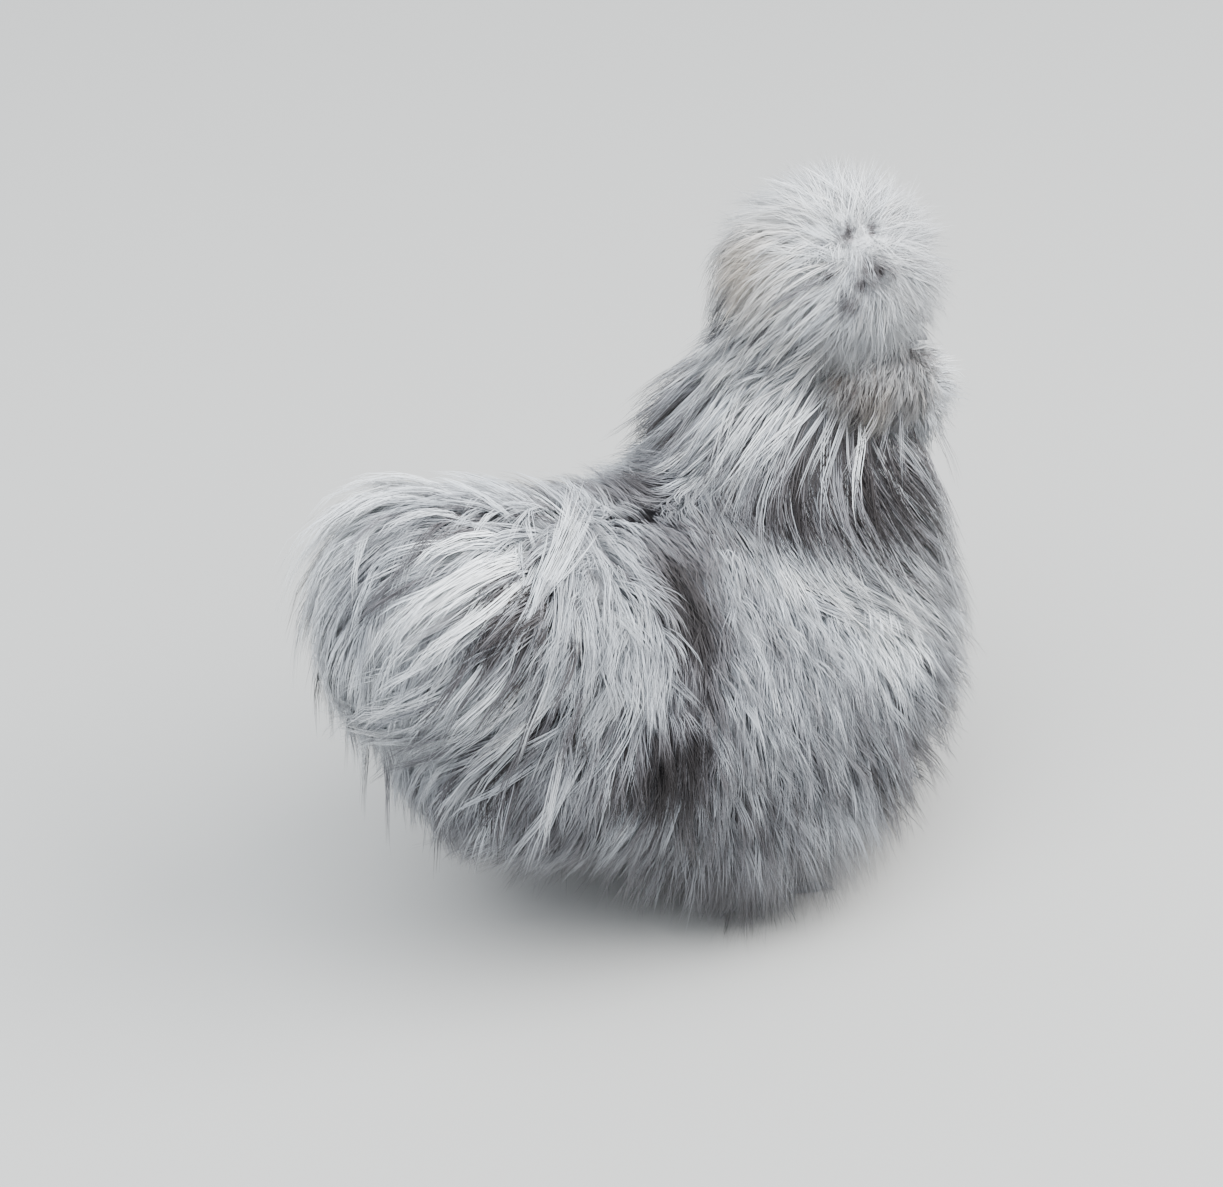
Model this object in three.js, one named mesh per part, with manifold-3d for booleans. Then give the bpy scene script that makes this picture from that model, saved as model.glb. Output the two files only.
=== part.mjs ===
// A bearded silkie cockerel standing with its head up, life size, in millimetres.
// +X is the way its body faces, +Y its left side, +Z up, and it stands on the plane z = 0.
// The origin is under the middle of the bird. Every named mesh is one closed solid: a piece of the head, a foot,
// or a part of the coat, which is a smooth core with its tapered locks or flight feathers joined on.
import * as THREE from 'three'
import { mergeVertices } from 'three/addons/utils/BufferGeometryUtils.js'
import Module from 'manifold-3d'

const wasm = await Module()
wasm.setup()

// Driving sizes
const gap = 0.35 // between solids that touch
const headPlace = [112, -9, 277] // middle of the skull
const headYaw = -15 // degrees, the head is turned a little to the bird's right
const headPitch = 8 // degrees, the bill points slightly down
const legs = {
  right: { side: -1, sole: [26, -50], thigh: [34, -55, 63], hip: [38, -50, 67] },
  left: { side: 1, sole: [6, 48], thigh: [14, 54, 63], hip: [16, 48, 65] },
}
const shankTop = 48 // height where the shank enters the thigh
const wingPlace = { ahead: 6, out: 93, high: 140, droop: -28, lean: 0.25, inward: 8 }
const flankWidth = 86 // from the middle of the bird to the flat under each wing, which leans in above and behind
const cheekWidth = 15 // from the middle of the head to the flat under each muff
const floorClear = 1.2 // lowest point of the locks over the floor
const colours = {
  coat: 0xa9a8ad, wing: 0x9c9ba1, thigh: 0xb4b3b6, skin: 0x39333c, comb: 0x3a2227,
  earlobe: 0x7fb3bd, eye: 0x120d0d, bill: 0x52535a, leg: 0x42474f,
}

const rad = THREE.MathUtils.degToRad
const vec = (p) => new THREE.Vector3(...p)
const up = new THREE.Vector3(0, 0, 1)

// Random numbers that are the same each time
let seed = 7
function random() {
  seed = (seed * 1664525 + 1013904223) % 4294967296
  return seed / 4294967296
}
const vary = (amount) => 1 + (random() * 2 - 1) * amount

// An egg is a middle, three half-lengths and a turn: pitch lowers its +X end, yaw turns it to the left.
const turned = (pitch, yaw) =>
  new THREE.Quaternion().setFromEuler(new THREE.Euler(0, rad(pitch), rad(yaw), 'ZYX'))

function egg(place, half, pitch = 0, yaw = 0) {
  const turn = turned(pitch, yaw)
  return { place: vec(place), half: vec(half), turn, back: turn.clone().invert() }
}

// The head has a frame of its own: x along the bill, y to the bird's left, z up.
const headTurn = turned(headPitch, headYaw)
const onHead = (local) => vec(local).applyQuaternion(headTurn).add(vec(headPlace))
const headEgg = (local, half) => egg(onHead(local).toArray(), half, headPitch, headYaw)

// The forms that carry the coat: each is a few eggs, a little under half way from the skin to the tips.
const forms = {
  crest: [egg([101, -5, 316], [45, 46, 43])],
  beard: [headEgg([25, -1, -32], [24, 29, 21])],
  torso: [
    egg([67, 0, 116], [90, 90, 83]),
    egg([-5, 0, 128], [105, 85, 84]),
    egg([-82, 0, 130], [62, 62, 56]),
  ],
  saddle: [egg([-66, 0, 182], [68, 66, 54]), egg([-108, 0, 204], [52, 54, 52])],
  tail: [egg([-139, 0, 216], [33, 40, 42])],
  neck: [egg([77, 0, 196], [64, 71, 59]), egg([89, -4, 240], [43, 47, 46])],
}
for (const [end, { side, thigh }] of Object.entries(legs)) {
  const { ahead, out, high, droop, inward } = wingPlace
  forms[`muff_${end}`] = [headEgg([-1, 29 * side, -10], [25, 15, 22])]
  forms[`wing_${end}`] = [egg([ahead, out * side, high], [72, 20, 38], droop, inward * side)]
  forms[`thigh_${end}`] = [egg(thigh, [57, 35, 40])]
}
const trunk = ['torso', 'saddle', 'tail', 'neck']
const wholeOf = (name) => (trunk.includes(name) ? trunk : [name])

// How many facets the eggs of a form have, around and from end to end
const facets = {
  crest: [16, 9], beard: [12, 7], torso: [15, 9], saddle: [12, 8], tail: [10, 7], neck: [12, 8],
  muff_right: [10, 7], muff_left: [10, 7], wing_right: [12, 7], wing_left: [12, 7],
  thigh_right: [12, 7], thigh_left: [12, 7],
}

// The trunk is made whole and parted by flat cuts, and flat cuts part the coats of the head from it and the skull.
// A cut has a point on it and the way its front faces.
const cut = (through, facing) => ({ through: vec(through), facing: vec(facing).normalize() })
const headCut = (through, facing) => cut(onHead(through).toArray(), vec(facing).applyQuaternion(headTurn).toArray())
const cuts = {
  cape: cut([12, 0, 203], [0.45, 0, 0.89]),
  rump: cut([-128, 0, 215], [-0.9, 0, 0.44]),
  back: cut([-60, 0, 152], [-0.15, 0, 0.99]),
  nape: headCut([-15, 0, -15], [0.8, 0, 0.6]),
  crown: headCut([0, 0, 10.5], [-0.35, 0, 0.94]),
  forehead: headCut([20, 0, 6], [0.6, 0, 0.8]),
  chin: headCut([0, 0, -15.5], [0, 0, -1]),
}
for (const [end, { side, hip }] of Object.entries(legs)) {
  const { ahead, high, lean, inward } = wingPlace
  cuts[`flank_${end}`] = cut([ahead, flankWidth * side, high], [-Math.tan(rad(inward)), side, lean])
  cuts[`hip_${end}`] = cut(hip, [-0.05, 0.61 * side, -0.79])
  cuts[`cheek_${end}`] = headCut([0, cheekWidth * side, 0], [0, side, 0])
  cuts[`jaw_${end}`] = headCut([11, 14 * side, -22], [-0.5, 0.68 * side, 0.53])
}

// Each part lies in front of some cuts, 1, and behind others, -1.
const behindFlanks = { flank_right: -1, flank_left: -1 }
const sides = {
  neck: { cape: 1, nape: -1, ...behindFlanks },
  tail: { cape: -1, rump: 1 },
  saddle: { cape: -1, rump: -1, back: 1, ...behindFlanks },
  torso: { cape: -1, rump: -1, back: -1, hip_right: -1, hip_left: -1, ...behindFlanks },
  crest: { nape: 1, crown: 1 },
  beard: { nape: 1, chin: 1, jaw_right: -1, jaw_left: -1 },
  head: { nape: 1, crown: -1, forehead: -1, chin: -1, cheek_right: -1, cheek_left: -1 },
  comb: { crown: -1, forehead: 1 },
}
for (const end of Object.keys(legs)) {
  sides[`wing_${end}`] = { [`flank_${end}`]: 1 }
  sides[`thigh_${end}`] = { [`hip_${end}`]: 1 }
  sides[`muff_${end}`] = { nape: 1, [`cheek_${end}`]: 1, [`jaw_${end}`]: 1 }
}

const isBefore = (name, point, margin) => Object.entries(sides[name]).every(([at, side]) =>
  cuts[at].facing.dot(point.clone().sub(cuts[at].through)) * side > margin)

function parted(name, solid) {
  for (const [at, side] of Object.entries(sides[name])) {
    const facing = cuts[at].facing.clone().multiplyScalar(side)
    solid = solid.trimByPlane(facing.toArray(), facing.dot(cuts[at].through) + gap / 2)
  }
  return solid
}

// Solids
function solidOf(geometry) {
  geometry.deleteAttribute('normal')
  geometry.deleteAttribute('uv')
  const merged = mergeVertices(geometry, 1e-4)
  return new wasm.Manifold(new wasm.Mesh({
    numProp: 3,
    vertProperties: new Float32Array(merged.attributes.position.array),
    triVerts: new Uint32Array(merged.index.array),
  }))
}

const joined = (solids) => wasm.Manifold.union(solids)

function eggSolid({ half, turn, place }, grow, around, along) {
  const ball = new THREE.SphereGeometry(1, around, along)
  ball.rotateX(Math.PI / 2)
  ball.scale(half.x + grow, half.y + grow, half.z + grow)
  ball.applyQuaternion(turn)
  ball.translate(place.x, place.y, place.z)
  return solidOf(ball)
}

function formCore(name) {
  return (grow) => parted(name, joined(wholeOf(name).flatMap((part) =>
    forms[part].map((shape) => eggSolid(shape, grow, ...facets[part])))))
}

function profileAt(profile, share) {
  const at = share * (profile.length - 1)
  const low = Math.min(Math.floor(at), profile.length - 2)
  return THREE.MathUtils.lerp(profile[low], profile[low + 1], at - low)
}

// A tapered round limb along a smooth curve, with its radii spread along it
function limbSolid(points, radii, grow, around, steps) {
  const curve = new THREE.CatmullRomCurve3(points)
  const frames = curve.computeFrenetFrames(steps)
  const limb = new THREE.CylinderGeometry(1, 1, 1, around, steps)
  const place = limb.attributes.position
  for (let i = 0; i < place.count; i++) {
    const step = Math.round((place.getY(i) + 0.5) * steps)
    const radius = profileAt(radii, step / steps) + grow
    const past = step === 0 ? -grow : step === steps ? grow : 0
    const point = curve.getPoint(step / steps)
    point.addScaledVector(frames.tangents[step], past)
    point.addScaledVector(frames.normals[step], place.getZ(i) * radius)
    point.addScaledVector(frames.binormals[step], place.getX(i) * radius)
    place.setXYZ(i, point.x, point.y, point.z)
  }
  return solidOf(limb)
}

// A lock is a flat three-sided blade along stations, each a place and the way its back faces.
const lock = {
  widths: [0.6, 1, 0.95, 0.62, 0],
  depths: [1, 1, 0.85, 0.6, 0],
  sink: 3, // how deep its root lies in the core
  sharpest: 0.45, // cosine of its sharpest bend
}
const triangle = { width: Math.sqrt(3), height: 1.5 } // of one in a circle of radius 1

function lockSolid({ stations, width, depth }, grow = 0) {
  const steps = stations.length - 1
  const blade = new THREE.ConeGeometry(1, 1, 3, steps)
  const place = blade.attributes.position
  for (let i = 0; i < place.count; i++) {
    const step = Math.round((place.getY(i) + 0.5) * steps)
    const share = step / steps
    const { at, back } = stations[step]
    const ahead = stations[Math.min(step + 1, steps)].at
    const along = ahead.clone().sub(stations[Math.max(step - 1, 0)].at).normalize()
    const point = at.clone()
    if (step === steps) {
      point.addScaledVector(along, grow * 2)
    } else {
      const halfWidth = (profileAt(lock.widths, share) * width) / triangle.width + grow * 2
      const halfDepth = (profileAt(lock.depths, share) * depth) / triangle.height + grow * 1.5
      point.addScaledVector(along.cross(back).normalize(), (place.getX(i) / (1 - share)) * halfWidth)
      point.addScaledVector(back, (place.getZ(i) / (1 - share)) * halfDepth)
    }
    place.setXYZ(i, point.x, point.y, point.z)
  }
  return solidOf(blade)
}

function folded({ stations }) {
  const ways = stations.slice(1).map(({ at }, i) => at.clone().sub(stations[i].at).normalize())
  return ways.slice(1).some((way, i) => way.dot(ways[i]) < lock.sharpest)
}

// How far a point lies outside a form, about, with its eggs running softly into one another
const blend = 14

function eggDistance({ place, half, back }, point) {
  const scaled = point.clone().sub(place).applyQuaternion(back).divide(half)
  const far = scaled.length()
  return (far * (far - 1)) / scaled.divide(half).length()
}

function distance(eggs, point) {
  return eggs.map((shape) => eggDistance(shape, point)).reduce((near, own) => {
    const share = Math.max(blend - Math.abs(near - own), 0) / blend
    return Math.min(near, own) - (share * share * blend) / 4
  })
}

function outward(eggs, point) {
  const slope = ['x', 'y', 'z'].map((axis) => {
    const [ahead, behind] = [point.clone(), point.clone()]
    ahead[axis] += 0.5
    behind[axis] -= 0.5
    return distance(eggs, ahead) - distance(eggs, behind)
  })
  return vec(slope).normalize()
}

function settle(eggs, point, height) {
  for (let i = 0; i < 4; i++) point.addScaledVector(outward(eggs, point), height - distance(eggs, point))
  return point
}

// A lock grows from a form and lies along a flow over it, rising to its lift. Past its hold it leaves the form
// and hangs on in the way that it went.
function flowStations({ over, root, flow, length, lift, turn, hold = 1, droop = 0.25, steps = 3 }) {
  const fine = 4 // short moves from one station to the next
  const point = settle(over, root.clone(), -lock.sink)
  const stations = [{ at: point.clone(), back: outward(over, point) }]
  let last = up
  for (let i = 1; i <= steps * fine; i++) {
    const share = i / (steps * fine)
    const back = outward(over, point)
    const way = flow(root, back, point)
    way.addScaledVector(back, -way.dot(back)).normalize()
    way.addScaledVector(back.clone().cross(way), turn).normalize()
    if (share > hold) way.copy(last).addScaledVector(up, -droop).normalize()
    const from = point.clone()
    point.addScaledVector(way, length / (steps * fine))
    if (share <= hold) settle(over, point, -lock.sink + (lift + lock.sink) * Math.sqrt(share / hold))
    last = point.clone().sub(from).normalize()
    if (i % fine === 0) stations.push({ at: point.clone(), back: outward(over, point) })
  }
  return stations
}

// How each part of the coat grows: the spacing of its roots, the size of its locks and the way they lie
const awayFrom = (middle, root, rest) => vec(rest).add(root.clone().sub(middle).setZ(0).normalize())
const crestTop = vec([112, -6, 330])
const tailTop = vec([-104, 0, 240])
const coats = {
  crest: {
    spacing: 23, width: 22, depth: 6, length: 38, lift: 13, hold: 0.8, clear: 1,
    flow: (root) => awayFrom(crestTop, root, [-0.35, 0, -0.9]),
  },
  beard: {
    spacing: 19, width: 17, depth: 5, length: 27, lift: 10, hold: 0.7, clear: 1, bare: 16,
    flow: (root) => new THREE.Vector3(0.15, (root.y + 14) / 50, -1),
  },
  neck: {
    spacing: 25.5, width: 23, depth: 6, length: 80, lift: 18, steps: 4, clear: 0.5,
    over: ['neck', 'torso', 'saddle', 'wing_right', 'wing_left'],
    flow: () => new THREE.Vector3(-0.22, 0, -1),
  },
  saddle: {
    spacing: 26, width: 24, depth: 6, length: 74, lift: 18, steps: 4, clear: 4, from: [1, 0, 0.5],
    over: ['saddle', 'torso', 'tail'],
    flow: (root, back, point) => new THREE.Vector3(-0.85, point.y / 90, -0.55),
  },
  tail: {
    spacing: 24, width: 22, depth: 5, length: 50, lift: 15, hold: 0.8, clear: 3,
    over: ['tail', 'saddle', 'torso'],
    flow: (root) => awayFrom(tailTop, root, [-0.3, 0, -0.9]),
  },
  torso: {
    spacing: 35, width: 35, depth: 9, length: 62, lift: 20, hold: 0.75, clear: 5,
    flow: (root, back) => new THREE.Vector3(-0.5 - 0.5 * Math.abs(back.z), 0.1 * Math.sign(root.y), -0.8),
  },
}
for (const [end, { side }] of Object.entries(legs)) {
  coats[`muff_${end}`] = {
    spacing: 16, width: 14, depth: 5, length: 28, lift: 9, hold: 0.7, clear: 2,
    flow: () => new THREE.Vector3(-0.68, 0.42 * side - 0.1, -0.65),
  }
  coats[`wing_${end}`] = {
    spacing: 26, width: 24, depth: 5, length: 48, lift: 8, clear: 3, from: [1, 0, 0.4], facing: [0, side, 0],
    flow: () => new THREE.Vector3(-0.8, 0, -0.65),
  }
  coats[`thigh_${end}`] = {
    spacing: 26, width: 24, depth: 7, length: 40, lift: 13, hold: 0.5, clear: 2,
    flow: (root, back) => new THREE.Vector3(-0.3 + back.x * 0.5, back.y * 0.6, -1),
  }
}

// Roots are spread evenly over the eggs of a form where it shows, off the bare face and the underside.
const face = { middle: onHead([30, 0, -2]), bare: 23 }
const underside = -0.88 // how steeply a form faces down where it has no locks

function rootsOn(name) {
  const { spacing, clear, facing, bare = face.bare } = coats[name]
  const whole = wholeOf(name)
  const eggs = whole.flatMap((part) => forms[part])
  const others = Object.keys(forms).filter((other) => !whole.includes(other))
  const golden = Math.PI * (3 - Math.sqrt(5))
  return eggs.flatMap(({ half, turn, place }) => {
    const area = (4 * Math.PI * (half.x * half.y + half.y * half.z + half.z * half.x)) / 3
    const count = Math.round(area / (spacing * spacing * 0.87))
    return Array.from({ length: count }, (_, i) => {
      const level = 1 - (2 * i + 1) / count
      const ring = Math.sqrt(1 - level * level)
      return new THREE.Vector3(level, ring * Math.cos(i * golden), ring * Math.sin(i * golden))
        .multiply(half).applyQuaternion(turn).add(place)
    })
  }).filter((root) => {
    const out = outward(eggs, root)
    return distance(eggs, root) > -blend / 2 && isBefore(name, root, clear) && out.z > underside &&
      (!facing || out.dot(vec(facing)) > 0.1) && root.distanceTo(face.middle) > bare &&
      others.every((other) => distance(forms[other], root) > clear)
  })
}

// Each lock is a function of the way it is tried.
function coatLocks(name) {
  const coat = coats[name]
  const over = (coat.over ?? [name]).flatMap((part) => forms[part])
  const from = vec(coat.from ?? [0, 0, 1])
  return rootsOn(name).sort((a, b) => b.dot(from) - a.dot(from)).map((root) => {
    const length = coat.length * vary(0.14)
    const lift = coat.lift * vary(0.16)
    const width = coat.width * vary(0.15)
    return (way) => ({
      stations: flowStations({
        ...coat, over, root, turn: way.turn, length: length * way.length, lift: lift * way.lift,
      }),
      width,
      depth: coat.depth,
    })
  })
}

// Flight feathers are long flat vanes that lie over one another, fanned from the rear edge of each wing.
const flights = { count: 7, length: 66, width: 16, depth: 1.6, layer: 2.3, sag: 7 }

function flightVanes(end, side) {
  const [{ half, turn, place }] = forms[`wing_${end}`]
  return Array.from({ length: flights.count }, (_, i) => {
    const share = i / (flights.count - 1)
    const layer = (i - flights.count / 2) * flights.layer * side
    const root = new THREE.Vector3(-0.4 - 0.4 * share, 0, -0.55 + 0.5 * share)
      .multiply(half).applyQuaternion(turn).add(place)
    const way = new THREE.Vector3(-0.8 - 0.15 * share, -0.12 * side, -0.5 + 0.25 * share).normalize()
    const length = flights.length * (0.8 + 0.2 * share) * vary(0.05)
    const stations = [0, 0.3, 0.6, 0.85, 1].map((along) => ({
      at: root.clone().addScaledVector(way, length * along)
        .add(new THREE.Vector3(0, layer, -flights.sag * along * along)),
      back: new THREE.Vector3(0, side, 0),
    }))
    return () => ({ stations, width: flights.width, depth: flights.depth })
  })
}

// Head, with lids round the eyes, a cushion comb of five lumps and open nostrils
const eye = { ahead: 12, out: 12, high: 3, radius: 4.6, lid: 1.3, lidOut: 2.2 }
const combLumps = [[20, 0, 12], [26, 4, 9], [26, -4, 9], [15, 5, 14], [15, -5, 14]]

function lidSolid(side) {
  const ring = new THREE.TorusGeometry(eye.radius + 0.4, eye.lid, 4, 10)
  ring.scale(1.15, 0.85, 1)
  ring.rotateX(Math.PI / 2)
  ring.applyQuaternion(headTurn)
  ring.translate(...onHead([eye.ahead, (eye.out + eye.lidOut) * side, eye.high]).toArray())
  return solidOf(ring)
}

function skull(grow) {
  const bare = parted('head', joined([
    eggSolid(headEgg([0, 0, 0], [24, 17, 18]), grow, 12, 7),
    eggSolid(headEgg([15, 0, -3], [16, 12, 12]), grow, 10, 7),
  ]))
  return joined([bare, lidSolid(-1), lidSolid(1)])
}

const comb = (grow) => parted('comb', joined(combLumps.map((at) => eggSolid(headEgg(at, [6, 5.5, 5]), grow, 6, 4))))
const eyeball = (side, grow) =>
  eggSolid(headEgg([eye.ahead, eye.out * side, eye.high], Array(3).fill(eye.radius)), grow, 9, 6)
const earlobe = (side, grow) => eggSolid(headEgg([6, 15.5 * side, -4], [4, 2.5, 5]), grow, 7, 5)
const wattle = (side, grow) => eggSolid(headEgg([21, 6.5 * side, -10], [3.6, 2.6, 5.2]), grow, 7, 5)
const nostril = (side) => eggSolid(headEgg([31.5, 3.9 * side, 0.6], [2.2, 1, 0.9]), 0, 6, 4)

function billUpper(grow) {
  const line = [[24, 0, -1], [34, 0, -1.5], [41, 0, -4.5]].map(onHead)
  return limbSolid(line, [5.6, 4, 1.4], grow, 8, 4).subtract(joined([nostril(-1), nostril(1)]))
}

const billLower = (grow) => limbSolid([[24, 0, -7.6], [36, 0, -7.6]].map(onHead), [3.8, 1.8], grow, 7, 2)

// A foot has a shank, three front toes, a hind toe and a fifth toe above it, and rests on flats at z = 0.
const pad = { radius: 9, height: 6.5, middle: 5 }
const toes = [
  { turn: 4, reach: 44, rise: 0 },
  { turn: 38, reach: 36, rise: 0 },
  { turn: -34, reach: 36, rise: 0 },
  { turn: 168, reach: 24, rise: 0 },
  { turn: 152, reach: 26, rise: 18 },
]
const toe = { radii: [4.8, 4.2, 3.4, 1.1], middle: 3.4, top: 8, claw: 1.12 }
const footFeathers = { count: 5, from: 20, to: 155, reach: 58, width: 19, depth: 3.5, low: 10, high: 15 }

function foot([x, y], side, grow) {
  const shank = [[x, y, 9], [x - 6, y, 38], [x + 2, y, shankTop]].map(vec)
  const toeLimbs = toes.map(({ turn, reach, rise }) => {
    const [ahead, out] = [Math.cos(rad(turn)) * reach, Math.sin(rad(turn)) * reach * side]
    const heights = [[0, toe.top + rise * 0.4], [0.35, toe.middle + rise * 0.7], [0.8, toe.middle + rise],
      [toe.claw, toe.middle - 0.6 + rise * 1.3]]
    const line = heights.map(([share, z]) => vec([x + ahead * share, y + out * share, z]))
    return limbSolid(line, toe.radii, grow, 6, 3)
  })
  return joined([
    limbSolid(shank, [5.4, 5, 7], grow, 6, 4),
    eggSolid(egg([x, y, pad.middle], [pad.radius, pad.radius, pad.height]), grow, 8, 6),
    ...toeLimbs,
  ])
}

function footVanes([x, y], side) {
  const { count, from, to, reach, width, depth, low, high } = footFeathers
  return Array.from({ length: count }, (_, i) => {
    const a = rad(THREE.MathUtils.lerp(from, to, i / (count - 1)))
    const [ahead, out] = [Math.cos(a), Math.sin(a) * side]
    const level = i % 2 ? high : low
    const heights = [[0, level], [0.35, level + 1.5], [0.7, level * 0.8], [1, floorClear + 2]]
    const stations = heights.map(([share, z]) => ({
      at: new THREE.Vector3(x - 4 + ahead * reach * share, y + out * reach * share, z),
      back: new THREE.Vector3(ahead * 0.4, out * 0.4, 1).normalize(),
    }))
    return () => ({ stations, width, depth })
  })
}

// The parts, from those that keep their whole shape to those that make room for them
const parts = []
const addPart = (name, colour, core, locks = []) => parts.push({ name, colour, core, locks })
for (const [end, { side }] of Object.entries(legs)) {
  addPart(`eye_${end}`, colours.eye, (grow) => eyeball(side, grow))
  addPart(`earlobe_${end}`, colours.earlobe, (grow) => earlobe(side, grow))
  addPart(`wattle_${end}`, colours.comb, (grow) => wattle(side, grow))
}
addPart('bill_upper', colours.bill, billUpper)
addPart('bill_lower', colours.bill, billLower)
addPart('comb', colours.comb, comb)
addPart('head', colours.skin, skull)
for (const name of ['crest', 'muff_right', 'muff_left', 'beard', 'neck', 'saddle', 'tail', 'torso']) {
  addPart(name, colours.coat, formCore(name), coatLocks(name))
}
for (const [end, { side, sole }] of Object.entries(legs)) {
  const wing = `wing_${end}`
  addPart(wing, colours.wing, formCore(wing), [...flightVanes(end, side), ...coatLocks(wing)])
  addPart(`foot_${end}`, colours.leg, (grow) => foot(sole, side, grow), footVanes(sole, side))
  addPart(`thigh_${end}`, colours.thigh, formCore(`thigh_${end}`), coatLocks(`thigh_${end}`))
}

// A lock keeps clear of all other locks and of the other cores. It is tried in a few ways, and left out where
// none of them fits. Only the few vanes of a foot may cross each other.
const ways = [
  { lift: 1, turn: 0, length: 1 },
  { lift: 0.8, turn: 0, length: 1 },
  { lift: 1.2, turn: 0, length: 1 },
  { lift: 0.6, turn: 0.2, length: 0.9 },
  { lift: 0.6, turn: -0.2, length: 0.9 },
  { lift: 1.3, turn: 0, length: 0.8 },
  { lift: 0.45, turn: 0, length: 0.75 },
  { lift: 1, turn: 0.4, length: 0.7 },
  { lift: 1, turn: -0.4, length: 0.7 },
]
const growing = ['crest', 'muff_right', 'muff_left', 'beard', 'neck', 'saddle', 'wing_right', 'wing_left', 'tail',
  'foot_right', 'foot_left', 'thigh_right', 'thigh_left', 'torso']
const touching = 1e-3 // cubic millimetres
const boxesMeet = (a, b) => [0, 1, 2].every((k) => a.min[k] < b.max[k] && b.min[k] < a.max[k])
const standing = []

function stand(part, solid, core = false) {
  standing.push({ part, solid, core, box: solid.boundingBox() })
}

function isClear(part, solid) {
  const box = solid.boundingBox()
  return box.min[2] > floorClear && !standing.some((other) =>
    !(other.part === part && (other.core || part.name.startsWith('foot'))) &&
    boxesMeet(box, other.box) && Math.abs(solid.intersect(other.solid).volume()) > touching)
}

for (const part of parts) {
  part.cutter = part.core(gap)
  part.grown = []
  stand(part, part.cutter, true)
}
for (const name of growing) {
  const part = parts.find((other) => other.name === name)
  for (const lockFor of part.locks) {
    const shape = ways.map(lockFor).find((made) => !folded(made) && isClear(part, lockSolid(made)))
    if (!shape) continue
    part.grown.push(lockSolid(shape))
    stand(part, lockSolid(shape, gap))
  }
}

// Each part makes room for those before it, takes its locks on and keeps its one closed surface.
function finished(part, place) {
  const core = parts.slice(0, place).reduce((solid, other) => solid.subtract(other.cutter), part.core(0))
  const whole = joined([core, ...part.grown]).trimByPlane([0, 0, 1], 0)
  return whole.decompose().reduce((best, body) => (body.volume() > best.volume() ? body : best)).simplify(0.1)
}

const model = new THREE.Group()
parts.forEach((part, place) => {
  const { vertProperties, triVerts } = finished(part, place).getMesh()
  const geometry = new THREE.BufferGeometry()
  geometry.setAttribute('position', new THREE.BufferAttribute(vertProperties, 3))
  geometry.setIndex(new THREE.BufferAttribute(triVerts, 1))
  const mesh = new THREE.Mesh(geometry, new THREE.MeshStandardMaterial({ color: part.colour, roughness: 0.9 }))
  mesh.name = part.name
  model.add(mesh)
})
const box = new THREE.Box3().setFromObject(model)
const middle = box.getCenter(new THREE.Vector3())
model.position.set(-middle.x, -middle.y, -box.min.z)

export default model
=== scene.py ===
import math
import bpy
import numpy as np
from mathutils import Euler, Matrix, Vector


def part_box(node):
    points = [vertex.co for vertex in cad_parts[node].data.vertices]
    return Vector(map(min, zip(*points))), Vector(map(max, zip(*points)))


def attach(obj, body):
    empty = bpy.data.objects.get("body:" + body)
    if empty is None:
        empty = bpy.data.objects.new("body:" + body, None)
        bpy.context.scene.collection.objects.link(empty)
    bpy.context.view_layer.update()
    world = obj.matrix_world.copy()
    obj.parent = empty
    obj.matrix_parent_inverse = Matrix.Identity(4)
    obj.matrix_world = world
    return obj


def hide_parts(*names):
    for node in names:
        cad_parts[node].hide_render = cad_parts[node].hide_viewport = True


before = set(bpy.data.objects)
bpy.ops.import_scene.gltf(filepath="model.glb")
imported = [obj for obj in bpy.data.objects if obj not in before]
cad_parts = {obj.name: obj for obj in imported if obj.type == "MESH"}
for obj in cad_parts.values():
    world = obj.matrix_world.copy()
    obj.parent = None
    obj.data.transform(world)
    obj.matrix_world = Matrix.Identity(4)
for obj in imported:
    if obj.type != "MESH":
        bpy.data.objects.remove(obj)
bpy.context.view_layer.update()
bpy.ops.object.select_all(action="DESELECT")
print("frame loaded")

# Places are in millimetres with the soles at 0, and toFrame takes them to the frame, which is in metres.
headPlace = {"middle": (112, -9, 277), "pitch": 8, "yaw": -15}  # the bill points down a little and to its right
eyeSettings = {
    "ahead": 12, "out": 12, "high": 3, "radius": 4.6, "gaze": (0.12, 0.05),
    "lid": 1.3, "lidGap": 0.4, "lidOut": 2.4, "lidShape": (1.15, 1, 0.85, 1),
}
sides = (("Right", -1), ("Left", 1))


def turned(pitch, yaw):
    return np.array(Euler((0, math.radians(pitch), math.radians(yaw)), "XYZ").to_matrix())


headTurn = turned(headPlace["pitch"], headPlace["yaw"])


def onHead(local):
    return headTurn @ local + headPlace["middle"]


def betweenEyes():  # half way between the CAD model's eyes
    return np.sum([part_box("eye_right"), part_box("eye_left")], 1).sum(0) / 4


shift = betweenEyes() * 1000 - onHead((eyeSettings["ahead"], 0, eyeSettings["high"]))
shift[2] = 0  # both stand on the same floor


def toFrame(points):
    return (np.asarray(points, float) + shift) / 1000


def columns(*values):
    return np.stack(np.broadcast_arrays(*values), 1)


def unit(vectors):
    return vectors / np.maximum(np.linalg.norm(vectors, axis=-1, keepdims=True), 1e-9)


# Forms of the body: smooth eggs that run into one another, on which the coat lies
def egg(middle, half, pitch=0, yaw=0):
    return {"middle": np.array(middle, float), "half": np.array(half, float), "turn": turned(pitch, yaw)}


def headEgg(local, half):
    return egg(onHead(local), half, headPlace["pitch"], headPlace["yaw"])


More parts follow.
